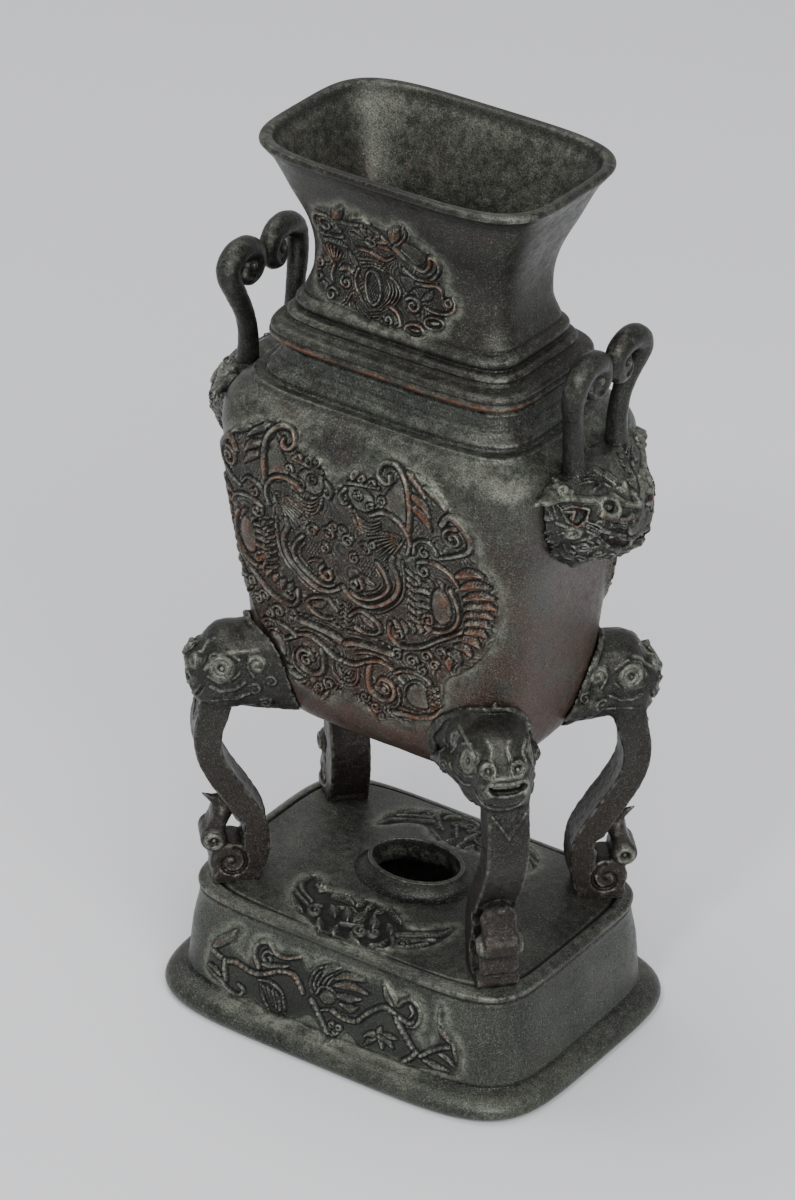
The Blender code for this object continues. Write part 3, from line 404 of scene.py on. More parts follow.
def phoenix_panel(sheet, way):
    """One phoenix of the pair, on a sheet 104 tall; way is 1 for the right one, -1 for the left."""
    ridge, leaf, plate = sheet.ridge, sheet.leaf, sheet.plate

    def p(*points):
        """The points on this bird's side."""
        return [(way * x, y) for x, y in points]

    def s(x, y, radius, start, turns=1.3, hand=1):
        """A scroll on this bird's side."""
        return scroll(x, y, radius, start, turns, hand) * (way, 1)

    # Tail feathers that fan along the outer edge
    inner = ((45.2, 18.5), (46.5, 14.3), (47.3, 10.2), (47.3, 6.8), (47.3, 3.5), (47.3, 0.2),
             (46.9, -3.2), (45.2, -6.5), (43.2, -9.8), (40.7, -13.2), (38.2, -15.7))
    outer = ((54.3, 20.6), (56.3, 16.2), (57.6, 11.8), (57.5, 8.0), (56.3, 4.3), (55.3, 0.4),
             (54.0, -3.6), (51.5, -8.2), (48.6, -12.3), (44.8, -16.5), (41.0, -19.8))
    for (ax, ay), (bx, by) in zip(inner[::-1], outer[::-1]):
        middle = ((ax + bx) / 2 + 0.3, (ay + by) / 2 + 1.1)
        leaf(p((ax, ay), middle, (bx, by)), 4.3, 0.62, barb=1.0, depth=0.55)
    # Barbed feathers of the raised wing
    for ax, ay, bx, by in ((26.5, 50.0, 35.0, 44.0), (30.0, 50.4, 38.5, 45.2), (33.8, 47.5, 42.5, 42.2),
                           (28.5, 44.0, 36.5, 37.8), (29.0, 40.0, 37.0, 33.2)):
        leaf(p((ax, ay), ((ax + bx) / 2 + 0.8, (ay + by) / 2 + 0.8), (bx, by)), 3.4, 0.55, lean=0.4)
    # Big comma feather with its ring
    ridge(p((40.7, 36.8), (42.8, 40.2), (45.6, 39.5), (48.6, 36.2), (50.4, 32.6), (49.6, 29.2),
            (46.4, 26.9), (43.0, 25.0), (39.6, 23.6)), 2.6, 0.62, split=0.3)
    ridge(s(44.4, 32.7, 3.9, 70, 1.5), 1.5, 0.6)
    # Small arch and scroll under it
    ridge(p((29.4, 22.2), (29.6, 25.4), (32.6, 28.0), (36.0, 28.2), (38.4, 25.4)), 1.7, 0.55)
    ridge(s(33.6, 23.6, 2.0, 120, 1.1), 1.2, 0.5)
    ridge(p((30.7, 16.9), (31.2, 19.2), (35.4, 20.6), (39.8, 19.9), (43.0, 18.1), (45.4, 14.6)),
          1.9, 0.6)
    ridge(s(32.8, 16.4, 2.4, 150, 1.3), 1.2, 0.55)
    # Short feathers on the near side of the wing
    for y, tip in ((10.0, 26.8), (7.4, 26.2), (4.6, 26.0), (1.6, 26.4), (-1.2, 27.2)):
        leaf(p((34.8, y + 0.6), (31.0, y + 0.7), (tip, y - 0.8)), 2.4, 0.55, barb=0.9, depth=0.35)
    for x, y in ((29.0, 13.4), (33.4, 13.4), (37.6, 14.6)):
        leaf(p((x, y), (x + 1.6, y - 1.2), (x + 2.4, y - 3.2)), 2.0, 0.5, barb=0.9)
    # Wing plate and its long rim, which ends in a scroll
    plate(p((35.6, 9.0), (38.4, 11.6), (41.2, 9.2), (42.4, 4.6),
            (41.6, -0.6), (38.4, -3.2), (35.4, -1.0), (34.8, 4.0)), 0.5)
    ridge(p((42.4, 12.0), (43.8, 8.8), (44.8, 4.6), (44.4, 0.4), (42.2, -3.2), (38.8, -5.6),
            (34.8, -6.6), (31.8, -5.2), (31.2, -2.6), (33.2, -0.8)), 1.9, 0.68, taper=0.2)
    ridge(s(33.6, -2.8, 1.9, 100, 1.1, -1), 1.2, 0.6)
    # Hooked upper wing, with its curl
    plate(p((24.0, 47.8), (26.6, 44.0), (27.2, 37.0), (26.6, 31.0),
            (22.0, 31.6), (18.6, 35.4), (19.6, 41.2)), 0.3)
    ridge(p((28.0, 30.6), (28.7, 36.4), (28.3, 41.8), (27.3, 46.2), (25.4, 49.0), (22.6, 50.9),
            (19.6, 51.2), (17.2, 50.2), (16.3, 47.6), (17.4, 45.6), (19.4, 44.8), (21.0, 45.8),
            (20.6, 47.6)), 2.2, 0.7, taper=0.35)
    # Crest and face
    for x, y, r in ((7.4, 43.9, 1.5), (10.6, 43.4, 1.5), (14.6, 43.2, 1.6)):
        ridge(s(x, y, r, 250, 1.2, -1), 1.0, 0.6)
    ridge(p((5.2, 40.6), (9.0, 41.2), (13.0, 41.8), (17.0, 42.2)), 1.5, 0.6)
    plate(p((4.2, 38.6), (8.0, 40.4), (13.0, 39.4), (15.0, 35.6),
            (12.4, 31.8), (8.0, 31.4), (5.0, 34.6)), 0.42)
    ridge(oval(way * 9.0, 37.2, 1.5, 1.3), 0.7, 0.75, taper=0)
    ridge(p((3.8, 37.8), (1.8, 35.0), (2.6, 32.2), (4.6, 32.8)), 1.7, 0.62)
    ridge(s(13.6, 33.8, 1.8, 60, 1.2), 1.0, 0.55)
    ridge(s(18.2, 38.0, 1.6, 200, 1.2, -1), 1.0, 0.5)
    # Beard and neck bands
    for k in range(4):
        d = 1.35 * k
        ridge(p((5.2 + 0.4 * k, 31.8 - d), (9.0, 28.2 - d), (13.2, 27.6 - d), (17.0, 29.6 - 0.8 * d)),
              1.1, 0.58, moat=0.35)
    # Mane: an arch, and strands that fan down to the breast
    ridge(p((13.6, 31.4), (18.2, 33.8), (23.4, 33.2), (27.0, 29.8), (28.2, 25.2), (27.2, 21.2)),
          2.0, 0.66, taper=0.2)
    for k in range(8):
        t = k / 7
        tip = (11.0 + 7.6 * t ** 1.2, 23.2 - 9.6 * t)
        middle = ((tip[0] + 26) / 2, (tip[1] + 27.6) / 2 + 0.6 - t)
        ridge(p((26.2 - 1.2 * t, 27.0 - 2.6 * t), middle, tip), 1.05, 0.55, moat=0.3, taper=0.3)
    # Breast scrolls
    for x, y, r, start, hand in ((3.8, 17.8, 2.5, 30, 1), (10.4, 16.8, 2.4, 150, -1), (5.8, 11.6, 2.0, 80, 1),
                                 (1.6, 21.2, 1.5, 0, 1), (13.4, 19.8, 1.4, 200, 1)):
        ridge(s(x, y, r, start, 1.4, hand), 1.15, 0.55)
    # Scaled breast and the two bowls of the body
    sheet.dots(way * 11.6, 9.6, 4.2, 3.4)
    ridge(p((14.6, 13.0), (17.6, 9.4), (18.8, 5.6), (17.4, 2.2), (14.0, -0.9), (10.4, -2.9),
            (6.4, -3.5), (3.4, -2.4)), 1.9, 0.66, taper=0.25)
    ridge(p((14.2, 10.4), (16.0, 7.4), (16.0, 4.4), (13.2, 1.0), (9.6, -0.8)), 0.9, 0.45)
    ridge(p((20.8, 17.6), (20.4, 14.6), (22.2, 11.0), (22.6, 6.6), (21.0, 2.4), (17.9, -1.2),
            (14.0, -4.2), (9.8, -5.9), (5.6, -5.6), (2.2, -3.6), (0.0, -1.6)), 2.3, 0.7,
          taper=0.2, split=0.25)
    ridge(p((24.8, 17.2), (25.2, 11.0), (24.6, 5.4), (22.6, 0.8), (18.8, -3.4), (14.6, -6.6),
            (9.8, -8.2)), 1.1, 0.5)
    ridge(s(5.6, 1.4, 3.0, 60, 1.3, -1), 1.7, 0.66)
    ridge(p((7.8, 5.6), (10.6, 5.2), (13.0, 3.4)), 1.3, 0.5)
    # Fine hackles between the bowl and the wing
    for k in range(7):
        y = 13.6 - 3.0 * k
        leaf(p((25.8, y + 1.4), (27.6, y), (29.6 + 0.4 * k, y - 1.6)), 1.7, 0.45, barb=0.8)
    # Chevrons down the middle
    for k in range(5):
        y = -8.0 - 1.8 * k
        ridge(p((0.0, y), (1.7, y - 1.2), (3.2, y + 0.4)), 0.8, 0.4, moat=0.3)
    # Arrow leaf, long lower wing and its scroll
    leaf(p((6.6, -9.4), (10.0, -12.4), (12.4, -13.4)), 3.6, 0.5)
    ridge(p((2.6, -12.2), (6.4, -8.9), (10.4, -9.6), (13.4, -11.4), (14.6, -13.6), (12.4, -15.8),
            (8.0, -16.8), (4.6, -16.0)), 1.7, 0.64, taper=0.2)
    for k in range(5):
        x = 20.0 + 3.0 * k
        leaf(p((x, -7.6 + 0.5 * k), (x + 1.4, -10.0 + 0.8 * k), (x + 1.6, -12.8 + 1.3 * k)), 2.6, 0.5)
    ridge(p((18.2, -9.8), (18.2, -13.6), (20.8, -16.6), (26.0, -16.4), (31.6, -13.8),
            (37.0, -9.6), (42.0, -6.2), (45.4, -3.6)), 2.0, 0.68, taper=0.2)
    ridge(s(21.6, -12.2, 2.5, 150, 1.2, 1), 1.2, 0.55)
    for x, y, r, start in ((21.0, -20.6, 2.2, 60), (26.6, -21.4, 2.4, 10), (32.2, -17.4, 2.3, 330),
                           (37.6, -14.0, 2.0, 300), (30.6, -23.6, 2.0, 90), (35.4, -20.0, 1.9, 40)):
        ridge(s(x, y, r, start, 1.3), 1.2, 0.52)
    # Tail bars that cross under the pair
    ridge(p((1.2, -19.0), (6.6, -18.2), (12.6, -18.4), (18.4, -19.2)), 0.9, 0.45)
    ridge(p((0.6, -24.0), (4.2, -22.4), (11.0, -21.6), (19.0, -21.4)), 2.5, 0.72, taper=0.05, flat=0.35)
    ridge(p((4.4, -26.2), (9.2, -24.4), (14.2, -24.0), (18.2, -25.6)), 1.2, 0.5)
    # Wave that carries the lower leaves
    ridge(p((0.0, -31.4), (4.0, -31.0), (8.4, -28.4), (13.2, -26.2), (17.4, -26.8), (21.8, -29.8),
            (26.2, -33.2)), 1.9, 0.68, taper=0.2)
    ridge(p((19.6, -28.6), (22.6, -26.6), (27.2, -25.6), (32.2, -26.6), (34.8, -30.2), (35.6, -34.6)),
          1.5, 0.6)
    # Domed oval plate with ribs beside it
    plate(p((23.4, -35.6), (25.0, -31.0), (28.8, -29.6), (31.8, -32.4),
            (32.4, -37.6), (29.2, -39.4), (25.0, -38.8)), 0.5)
    ridge(p((23.0, -36.8), (24.2, -31.8), (28.4, -28.9), (32.0, -31.4), (33.0, -37.0)), 0.8, 0.62)
    for k in range(8):
        y = -28.6 - 1.35 * k
        ridge(p((32.0 + 0.25 * k, y), (36.4 + 0.1 * k, y - 0.4)), 0.75, 0.6, moat=0.25, taper=0.1)
    # Hanging tongue between the waves, and the big scrolls
    ridge(p((0.0, -40.2), (2.8, -39.4), (4.8, -36.4), (5.0, -32.2)), 1.0, 0.6)
    ridge(p((0.0, -37.4), (1.8, -36.6), (2.8, -34.4)), 0.8, 0.45)
    ridge(p((9.4, -29.8), (8.8, -34.2), (9.8, -38.8), (13.2, -41.0), (17.4, -40.0), (19.2, -36.4),
            (17.8, -33.2), (14.6, -32.8), (13.0, -35.2)), 2.5, 0.64, taper=0.3)
    ridge(s(15.6, -36.4, 2.2, 110, 1.2, -1), 1.3, 0.6)
    ridge(p((20.6, -34.0), (21.4, -38.0), (19.6, -41.8), (15.6, -43.4)), 1.0, 0.5)
    # Ribbon below the oval
    ridge(p((21.4, -41.6), (26.4, -41.4), (32.4, -41.0)), 0.9, 0.6)
    ridge(p((16.4, -46.0), (21.4, -44.0), (28.4, -42.9), (33.6, -41.0), (36.8, -37.6)), 2.6, 0.6,
          taper=0.3, flat=0.2)
    # Small leaves and drops along the lower edge
    for x, y, r, start in ((7.2, -42.6, 1.9, 20), (11.4, -45.2, 2.0, 330), (3.4, -44.8, 1.7, 60),
                           (13.6, -48.2, 1.4, 300)):
        ridge(s(x, y, r, start, 1.3, -1), 1.1, 0.5)
    leaf(p((7.6, -46.0), (9.8, -49.0), (11.4, -51.4)), 2.4, 0.5)
    leaf(p((16.0, -44.6), (19.4, -46.8), (21.8, -46.6)), 2.2, 0.45)


def phoenix_pair(sheet):
    """Both birds, the left one first."""
    for way in (-1, 1):
        phoenix_panel(sheet, way)


def phoenix_outline():
    """The edge of the phoenix panel."""
    half = [(0, 39), (5, 43.8), (10, 46), (14.6, 47.2), (16.0, 51.2), (21, 52.8), (29, 51.6), (38, 46.8),
            (45, 42.4), (50.4, 37), (52.6, 31.4), (53.4, 25), (57, 20), (59.2, 12), (58.4, 3), (56, -6),
            (50.6, -15), (44.6, -21), (39.6, -25), (38, -32), (37.6, -38), (33, -43.4), (22, -47.8),
            (14, -50.4), (10, -52.4), (6, -47.4)]
    return half + [(0, -45)] + [(-x, y) for x, y in reversed(half[1:])]


def body_rings(profile, shares):
    """Sections of the body at each row of (z, half length)."""
    return np.array([section(a, a - LENGTH_LESS_WIDTH, BODY_POWER, BODY_BASE + z, shares)
                     for z, a in profile])


def section(half_length, half_width, power, z, shares):
    """A rounded oblong at height z, its points placed by shares from the front's middle."""
    t = np.linspace(-math.pi / 2, 1.5 * math.pi, 2881)
    c, s = np.cos(t), np.sin(t)
    x = half_length * np.sign(c) * np.abs(c) ** (2 / power)
    y = half_width * np.sign(s) * np.abs(s) ** (2 / power)
    run = np.concatenate([[0], np.cumsum(np.hypot(np.diff(x), np.diff(y)))])
    at = np.asarray(shares) * run[-1]
    return np.stack([np.interp(at, run, x), np.interp(at, run, y), np.full(len(at), float(z))], 1)


def spread_shares(front, sides, back, front_part=0.15, side_part=0.23):
    """Places round a section: close on the front, wider on the sides and the back."""
    right = np.linspace(0, front_part, front // 2, endpoint=False)
    flank = np.linspace(front_part, front_part + side_part, sides, endpoint=False)
    rear = np.linspace(front_part + side_part, 0.5, back // 2, endpoint=False)
    half = np.concatenate([right, flank, rear])
    return np.concatenate([half, [0.5], 1 - half[:0:-1]])


def arc_from_front(ring):
    """Length along the ring from the middle of the front, negative towards -X."""
    step = np.linalg.norm(np.roll(ring, -1, axis=0) - ring, axis=1)
    run = np.concatenate([[0], np.cumsum(step)[:-1]])
    return np.where(run > step.sum() / 2, run - step.sum(), run)


def normals(rings):
    """Outward normals of a stack of rings, as an array of the same shape."""
    around = np.roll(rings, -1, axis=1) - np.roll(rings, 1, axis=1)
    up = np.gradient(rings, axis=0)
    out = np.cross(around, up)
    return out / np.maximum(np.linalg.norm(out, axis=2, keepdims=True), 1e-12)


def even_rows(line, step):
    """The profile again with rows about one step apart."""
    line = np.asarray(line, float)
    run = np.concatenate([[0], np.cumsum(np.linalg.norm(np.diff(line, axis=0), axis=1))])
    even = np.linspace(0, run[-1], max(2, int(run[-1] / step)))
    return np.stack([np.interp(even, run, line[:, 0]), np.interp(even, run, line[:, 1])], 1)


def shifted_in(profile, wall):
    """The profile moved in by the wall, square to itself."""
    step = np.gradient(profile, axis=0)
    step /= np.maximum(np.linalg.norm(step, axis=1, keepdims=True), 1e-12)
    return profile + wall * np.stack([step[:, 1], -step[:, 0]], 1)


def scaled(points, height, half_length, steps=3):
    """A profile of shares as rows of (z above the base, half length)."""
    return curve(points, steps) * (height, half_length)


def new_mesh(name, points, faces, **layers):
    """A smooth-shaded mesh from points in millimetres, with named values on its points."""
    mesh = bpy.data.meshes.new(name)
    mesh.from_pydata((np.asarray(points) * MM).tolist(), [], faces)
    mesh.update()
    for layer, values in layers.items():
        attribute = mesh.attributes.new(layer, "FLOAT", "POINT")
        attribute.data.foreach_set("value", np.asarray(values, np.float32).ravel())
    mesh.shade_smooth()
    return mesh


def loft(name, rings, ends, **layers):
    """A closed mesh through the rings, joined end to end or capped."""
    rings = np.asarray(rings)
    rows, count = rings.shape[:2]
    j, i = np.meshgrid(np.arange(rows if ends == "joined" else rows - 1), np.arange(count), indexing="ij")
    low, high, k = j * count, (j + 1) % rows * count, (i + 1) % count
    faces = np.stack([low + i, low + k, high + k, high + i], -1).reshape(-1, 4).tolist()
    if ends == "capped":
        faces.append(list(range(count))[::-1])
        faces.append(list(range((rows - 1) * count, rows * count)))
    return new_mesh(name, rings.reshape(-1, 3), faces, **layers)


def thin_out(piece, triangles):
    """Leave about this many triangles on a piece, where its form needs them."""
    mesh = piece.data
    mesh.calc_loop_triangles()
    share = triangles / len(mesh.loop_triangles)
    if share < 1:
        modifier = piece.modifiers.new("Thin out", "DECIMATE")
        modifier.ratio = share
        modifier.use_collapse_triangulate = True
        bpy.context.view_layer.update()
        settled = bpy.data.meshes.new_from_object(
            piece.evaluated_get(bpy.context.evaluated_depsgraph_get()))
        piece.modifiers.clear()
        settled.name = mesh.name
        piece.data = settled
        bpy.data.meshes.remove(mesh)
        settled.shade_smooth()


def dress(name, mesh, node, material, triangles):
    """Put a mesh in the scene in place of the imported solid."""
    piece = bpy.data.objects.new(name, mesh)
    bpy.context.scene.collection.objects.link(piece)
    mesh.materials.append(material)
    thin_out(piece, triangles)
    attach(piece, "root")
    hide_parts(node)
    return piece


def body_outer():
    """Outer profile of the body as rows of (z above its base, half length)."""
    return scaled(BODY_PROFILE, BODY_HEIGHT, BODY_HALF_LENGTH, 6)


def two_faces(rings, shift, middle, outline, strokes, comb=None, **settings):
    """The same panel on the front and the back, as (arc, height, sheet maker) rows."""
    arc = np.array([arc_from_front(ring) for ring in rings])
    half = np.abs(arc).max(axis=1, keepdims=True)
    v = rings[:, :, 2] - middle

    def panel(u, v):
        """The carved sheet at these points."""
        sheet = Sheet(u, v, outline, **settings)
        if comb:
            sheet.comb(*comb)
        strokes(sheet)
        return sheet

    return (arc - shift, v, panel), (np.where(arc > 0, arc - half, arc + half) - shift, v, panel)


def skin(points, lift, seeds, fine, lump, coarse):
    """Unevenness of a casting: fine on the relief, and coarse in lumps all over."""
    return noise(points, 0.9, seeds[0]) * fine * (lift > 0.05) + noise(points, lump, seeds[1]) * coarse


def carve(rings, panels, depth, keep_off=None):
    """Lift the rings by carved panels; returns them with their lift, halo and depth layers."""
    out = normals(rings)
    lift = np.zeros(rings.shape[:2])
    halo = np.zeros(rings.shape[:2])
    deep = np.zeros(rings.shape[:2])
    for arc, v, maker in panels:
        near = (np.abs(arc) < SHEET_REACH) & (np.abs(v) < SHEET_RISE)
        sheet = maker(arc[near], v[near])
        height = sheet.height.copy()
        if keep_off is not None:
            height *= keep_off[near]
        lift[near] = np.maximum(lift[near], height)
        ring = np.exp(-((sheet.edge_gap + 0.5) / 1.3) ** 2)
        halo[near] = np.maximum(halo[near], ring)
        # How deep the ground lies between the strokes, which the material paints as shade
        deep[near] = np.maximum(deep[near], sheet.hollow())
    return rings + out * (depth * lift)[..., None], lift, halo, deep


def make_body(material):
    """The hollow body, with the two phoenixes on each long face and none under the legs' collars."""
    shares = spread_shares(350, 60, 200)
    outer = body_outer()
    plain = outer[:, 0] < 0.07 * BODY_HEIGHT
    rows = np.vstack([even_rows(outer[plain], COARSE_ROW), even_rows(outer[~plain], FINE_ROW)])
    inner = shifted_in(scaled(BODY_PROFILE, BODY_HEIGHT, BODY_HALF_LENGTH, 2), WALL)
    inner[-1] = (BODY_HEIGHT, inner[-1, 1])
    inner = inner[inner[:, 0] > WALL]
    rings = body_rings(rows, shares)
    from_patch = np.hypot(np.abs(rings[:, :, 0]) - LEG_PATCH_X, rings[:, :, 2] - LEG_PATCH_HEIGHT)
    keep_off = np.clip((from_patch - LEG_PATCH_RADIUS) / 3.0, 0, 1)
    panels = two_faces(rings, PHOENIX_SHIFT, PHOENIX_MIDDLE, phoenix_outline(), phoenix_pair, (7,), edge=1.0)
    carved, lift, halo, deep = carve(rings, panels, PHOENIX_DEPTH, keep_off)
    grain = skin(carved, lift, (3, 5), 0.07, 7.0, 0.10)
    carved = beaded(carved + normals(rings) * grain[..., None], BODY_LINES)
    inside_rings = body_rings(inner[::-1], shares)
    plain = np.zeros(inside_rings.shape[:2])
    mesh = loft("Body", np.concatenate([carved, inside_rings]), "capped", lift=np.concatenate([lift, plain]),
                halo=np.concatenate([halo, plain]), deep=np.concatenate([deep, plain]))
    return dress("Body_carved", mesh, "Body", material, BODY_TRIANGLES)


def beaded(rings, lines):
    """The rings with fine beads and grooves run round them; lines holds (z, rise, half width)."""
    z = rings[:, :, 2]
    rise = sum(high * np.exp(-((z - at) / wide) ** 2) for at, high, wide in lines)
    return rings + normals(rings) * rise[..., None]


def flower_panel(sheet):
    """The tangle of petals, rings and scrolls on the neck."""
    ridge, leaf, plate = sheet.ridge, sheet.leaf, sheet.plate
    # Petals at the top
    leaf([(-15.2, 12.8), (-12.6, 17.6), (-9.6, 20.6)], 4.2, 0.6, barb=1.1)
    ridge([(-16.6, 11.6), (-13.4, 13.0), (-9.0, 13.8), (-4.0, 14.8)], 1.9, 0.66)
    ridge([(-7.4, 17.0), (-3.8, 18.2), (-0.4, 16.4)], 1.9, 0.6)
    ridge([(-1.0, 15.4), (2.6, 13.2), (5.6, 10.0)], 1.8, 0.62)
    leaf([(7.0, 11.4), (8.4, 15.6), (11.6, 19.6)], 4.4, 0.62, barb=1.2)
    ridge([(7.2, 10.2), (10.4, 13.0), (13.2, 17.0), (13.0, 20.2)], 1.3, 0.62)
    # Curled leaf on the left
    ridge([(-14.4, 8.6), (-17.6, 13.0), (-22.6, 13.4), (-25.2, 9.4), (-23.4, 5.4),
           (-18.8, 5.0), (-14.0, 6.2)], 1.9, 0.62, taper=0.2)
    ridge(scroll(-19.6, 9.6, 3.2, 20, 1.4), 1.4, 0.55)
    leaf([(-22.0, 2.4), (-17.0, 3.2), (-12.2, 2.2)], 3.0, 0.5)
    # Open flower in the middle
    for angle in range(-10, 200, 30):
        c, n = math.cos(math.radians(angle)), math.sin(math.radians(angle))
        leaf([(-2.4 + 2.2 * c, 8.4 + 2.0 * n), (-2.4 + 4.8 * c, 8.4 + 4.4 * n),
              (-2.4 + 7.6 * c, 8.4 + 6.4 * n)], 2.7, 0.55, barb=0.9)
    ridge(oval(-2.4, 8.4, 1.8, 1.5), 1.0, 0.6, taper=0)
    ridge([(-8.4, 3.4), (-3.8, 3.8), (1.6, 2.2), (5.6, 4.6)], 1.6, 0.62)
    # Big leaf on the right
    plate([(8.6, 9.4), (11.4, 13.0), (16.6, 12.0), (18.4, 8.2), (15.0, 4.2), (11.0, 5.2)], 0.42)
    ridge([(6.6, 9.2), (9.8, 5.8), (13.4, 3.4), (16.8, 3.0), (19.2, 6.0), (20.4, 9.9),
           (22.4, 9.4), (23.0, 6.0), (21.2, 2.4), (18.4, -0.2)], 1.8, 0.66, taper=0.2)
    ridge([(9.6, 9.4), (14.2, 5.8)], 0.9, 0.6)
    ridge([(8.8, 1.2), (12.8, -1.2), (17.4, -0.8), (21.2, -0.4)], 1.2, 0.6)
    plate([(6.8, -1.4), (11.8, -1.8), (15.2, -3.4), (12.2, -5.0), (9.8, -7.4), (7.4, -4.8)], 0.5)
    ridge([(13.4, -3.0), (17.4, -2.6), (20.4, -1.6), (22.6, -2.4), (23.2, -5.4)], 1.7, 0.62)
    leaf([(15.6, -8.4), (18.0, -6.2), (19.4, -3.6)], 2.6, 0.5)
    ridge([(26.6, -5.2), (27.6, -8.0), (25.4, -10.4), (20.8, -11.4), (16.4, -10.8)], 1.7, 0.62)
    ridge(oval(25.4, -6.6, 1.2, 1.2), 1.0, 0.6, taper=0)
    ridge(scroll(12.2, -11.4, 3.0, 150, 1.4, -1), 1.6, 0.62)
    # Almond buds on the lower right
    for x, y, turn in ((21.0, -15.0, 8), (14.4, -19.0, 4)):
        ridge(oval(x, y, 3.5, 1.9, turn), 1.3, 0.66, taper=0)
        plate(oval(x, y, 1.9, 0.8, turn)[:-1].tolist(), 0.4, 0.8)
    # Beaded oval with arcs round it
    ridge(oval(-3.1, -9.6, 2.9, 5.9, 8), 1.2, 0.66, taper=0)
    sheet.dots(-3.1, -9.6, 2.0, 4.8, 0.95, 0.3)
    for k in range(4):
        d = 1.5 * k
        ridge([(0.6 + 0.6 * d, -2.8 - 0.2 * d), (3.2 + 0.9 * d, -7.6), (2.2 + 0.8 * d, -12.6),
               (-0.6 + 0.5 * d, -16.4)], 0.95, 0.55 + 0.04 * k, moat=0.3)
    for k in range(3):
        d = 1.4 * k
        ridge([(-7.6 - 0.4 * d, -3.4 + d), (-3.0, -1.6 + 0.8 * d), (1.8 + 0.3 * d, -2.8 + d)],
              0.9, 0.55, moat=0.3)
    # Sheaf of strands on the left
    for angle in range(60, 132, 12):
        c, n = math.cos(math.radians(angle)), math.sin(math.radians(angle))
        ridge([(-18.7, -6.8), (-18.7 + 4 * c, -6.8 + 4 * n), (-18.9 + 7.6 * c, -6.8 + 7.6 * n)],
              1.0, 0.58, moat=0.3, taper=0.2)
    ridge([(-18.7, -6.8), (-19.4, -9.6), (-18.6, -12.6)], 1.5, 0.62)
    leaf([(-16.4, -7.4), (-13.4, -5.8), (-10.6, -7.6)], 2.6, 0.5)
    leaf([(-12.4, 0.6), (-10.6, -2.6), (-9.4, -6.4)], 2.6, 0.5)
    ridge([(-9.0, -4.6), (-10.2, -8.0), (-9.6, -11.6), (-7.6, -14.4)], 1.3, 0.55)
    for x, y, r, start in ((-24.6, -12.1, 2.1, 90), (-24.6, -7.0, 2.0, 200), (-18.4, -16.4, 2.3, 20),
                           (-13.6, -11.0, 2.2, 140)):
        ridge(scroll(x, y, r, start, 1.3), 1.2, 0.58)
    # Waves along the bottom
    for k in range(4):
        d = 1.15 * k
        ridge([(-13.6 + 0.4 * d, -18.6 + 0.3 * d), (-10.4, -15.6 + 0.55 * d),
               (-7.2 + 0.3 * d, -18.2 + 0.7 * d), (-3.6, -20.2 + 0.8 * d),
               (1.4, -19.0 + 0.9 * d)], 0.85, 0.56, moat=0.3)
    ridge([(4.2, -14.4), (7.0, -15.6), (9.0, -18.8), (7.0, -20.4)], 1.6, 0.62)
    ridge(scroll(4.0, -18.6, 2.2, 200, 1.2), 1.2, 0.55)


def flower_outline():
    """The edge of the neck's panel."""
    return [(-10.2, 21.4), (-15.2, 17.8), (-22.6, 15.4), (-26.0, 9.4), (-25.6, 3.2), (-24.6, -3.0),
            (-27.2, -8.4), (-26.6, -14.0), (-20.6, -18.8), (-12.6, -19.6), (-4.0, -21.2), (6.8, -21.2),
            (10.8, -20.4), (15.0, -21.4), (18.6, -18.6), (24.6, -16.6), (25.6, -12.4), (28.8, -8.8),
            (27.6, -4.4), (24.4, -1.8), (25.0, 6.6), (22.4, 11.4), (17.0, 14.4), (14.4, 20.6),
            (10.8, 20.8), (6.6, 17.2), (0.4, 17.8), (-4.4, 19.4), (-8.2, 18.4)]


def neck_profiles():
    """Outer profile of the neck's rolls and of its flare, as rows of (z, half length)."""
    waist, rim = NECK_HALF_LENGTH, RIM_HALF_LENGTH
    collar = BODY_PROFILE[-1][1] * BODY_HALF_LENGTH
    lower = [(z * NECK_HEIGHT, collar * share) for z, share in NECK_LOWER_ROLL]
    upper = [(z * NECK_HEIGHT, waist + (collar - waist) * share) for z, share in NECK_UPPER_ROLL]
    flare = [(z * NECK_HEIGHT, waist + (rim - waist) * share) for z, share in NECK_FLARE]
    return np.vstack([curve(lower, 6), curve(upper, 6)]), curve(upper[-1:] + flare, 8)[1:]


def neck_rings(profile, shares):
    """Sections of the neck, which round off towards the rim."""
    rings = []
    for z, a in profile:
        power = NECK_POWER + (RIM_POWER - NECK_POWER) * (z / NECK_HEIGHT) ** 2
        rings.append(section(a, a - NECK_LESS_WIDTH, power, NECK_BASE + z, shares))
    return np.array(rings)


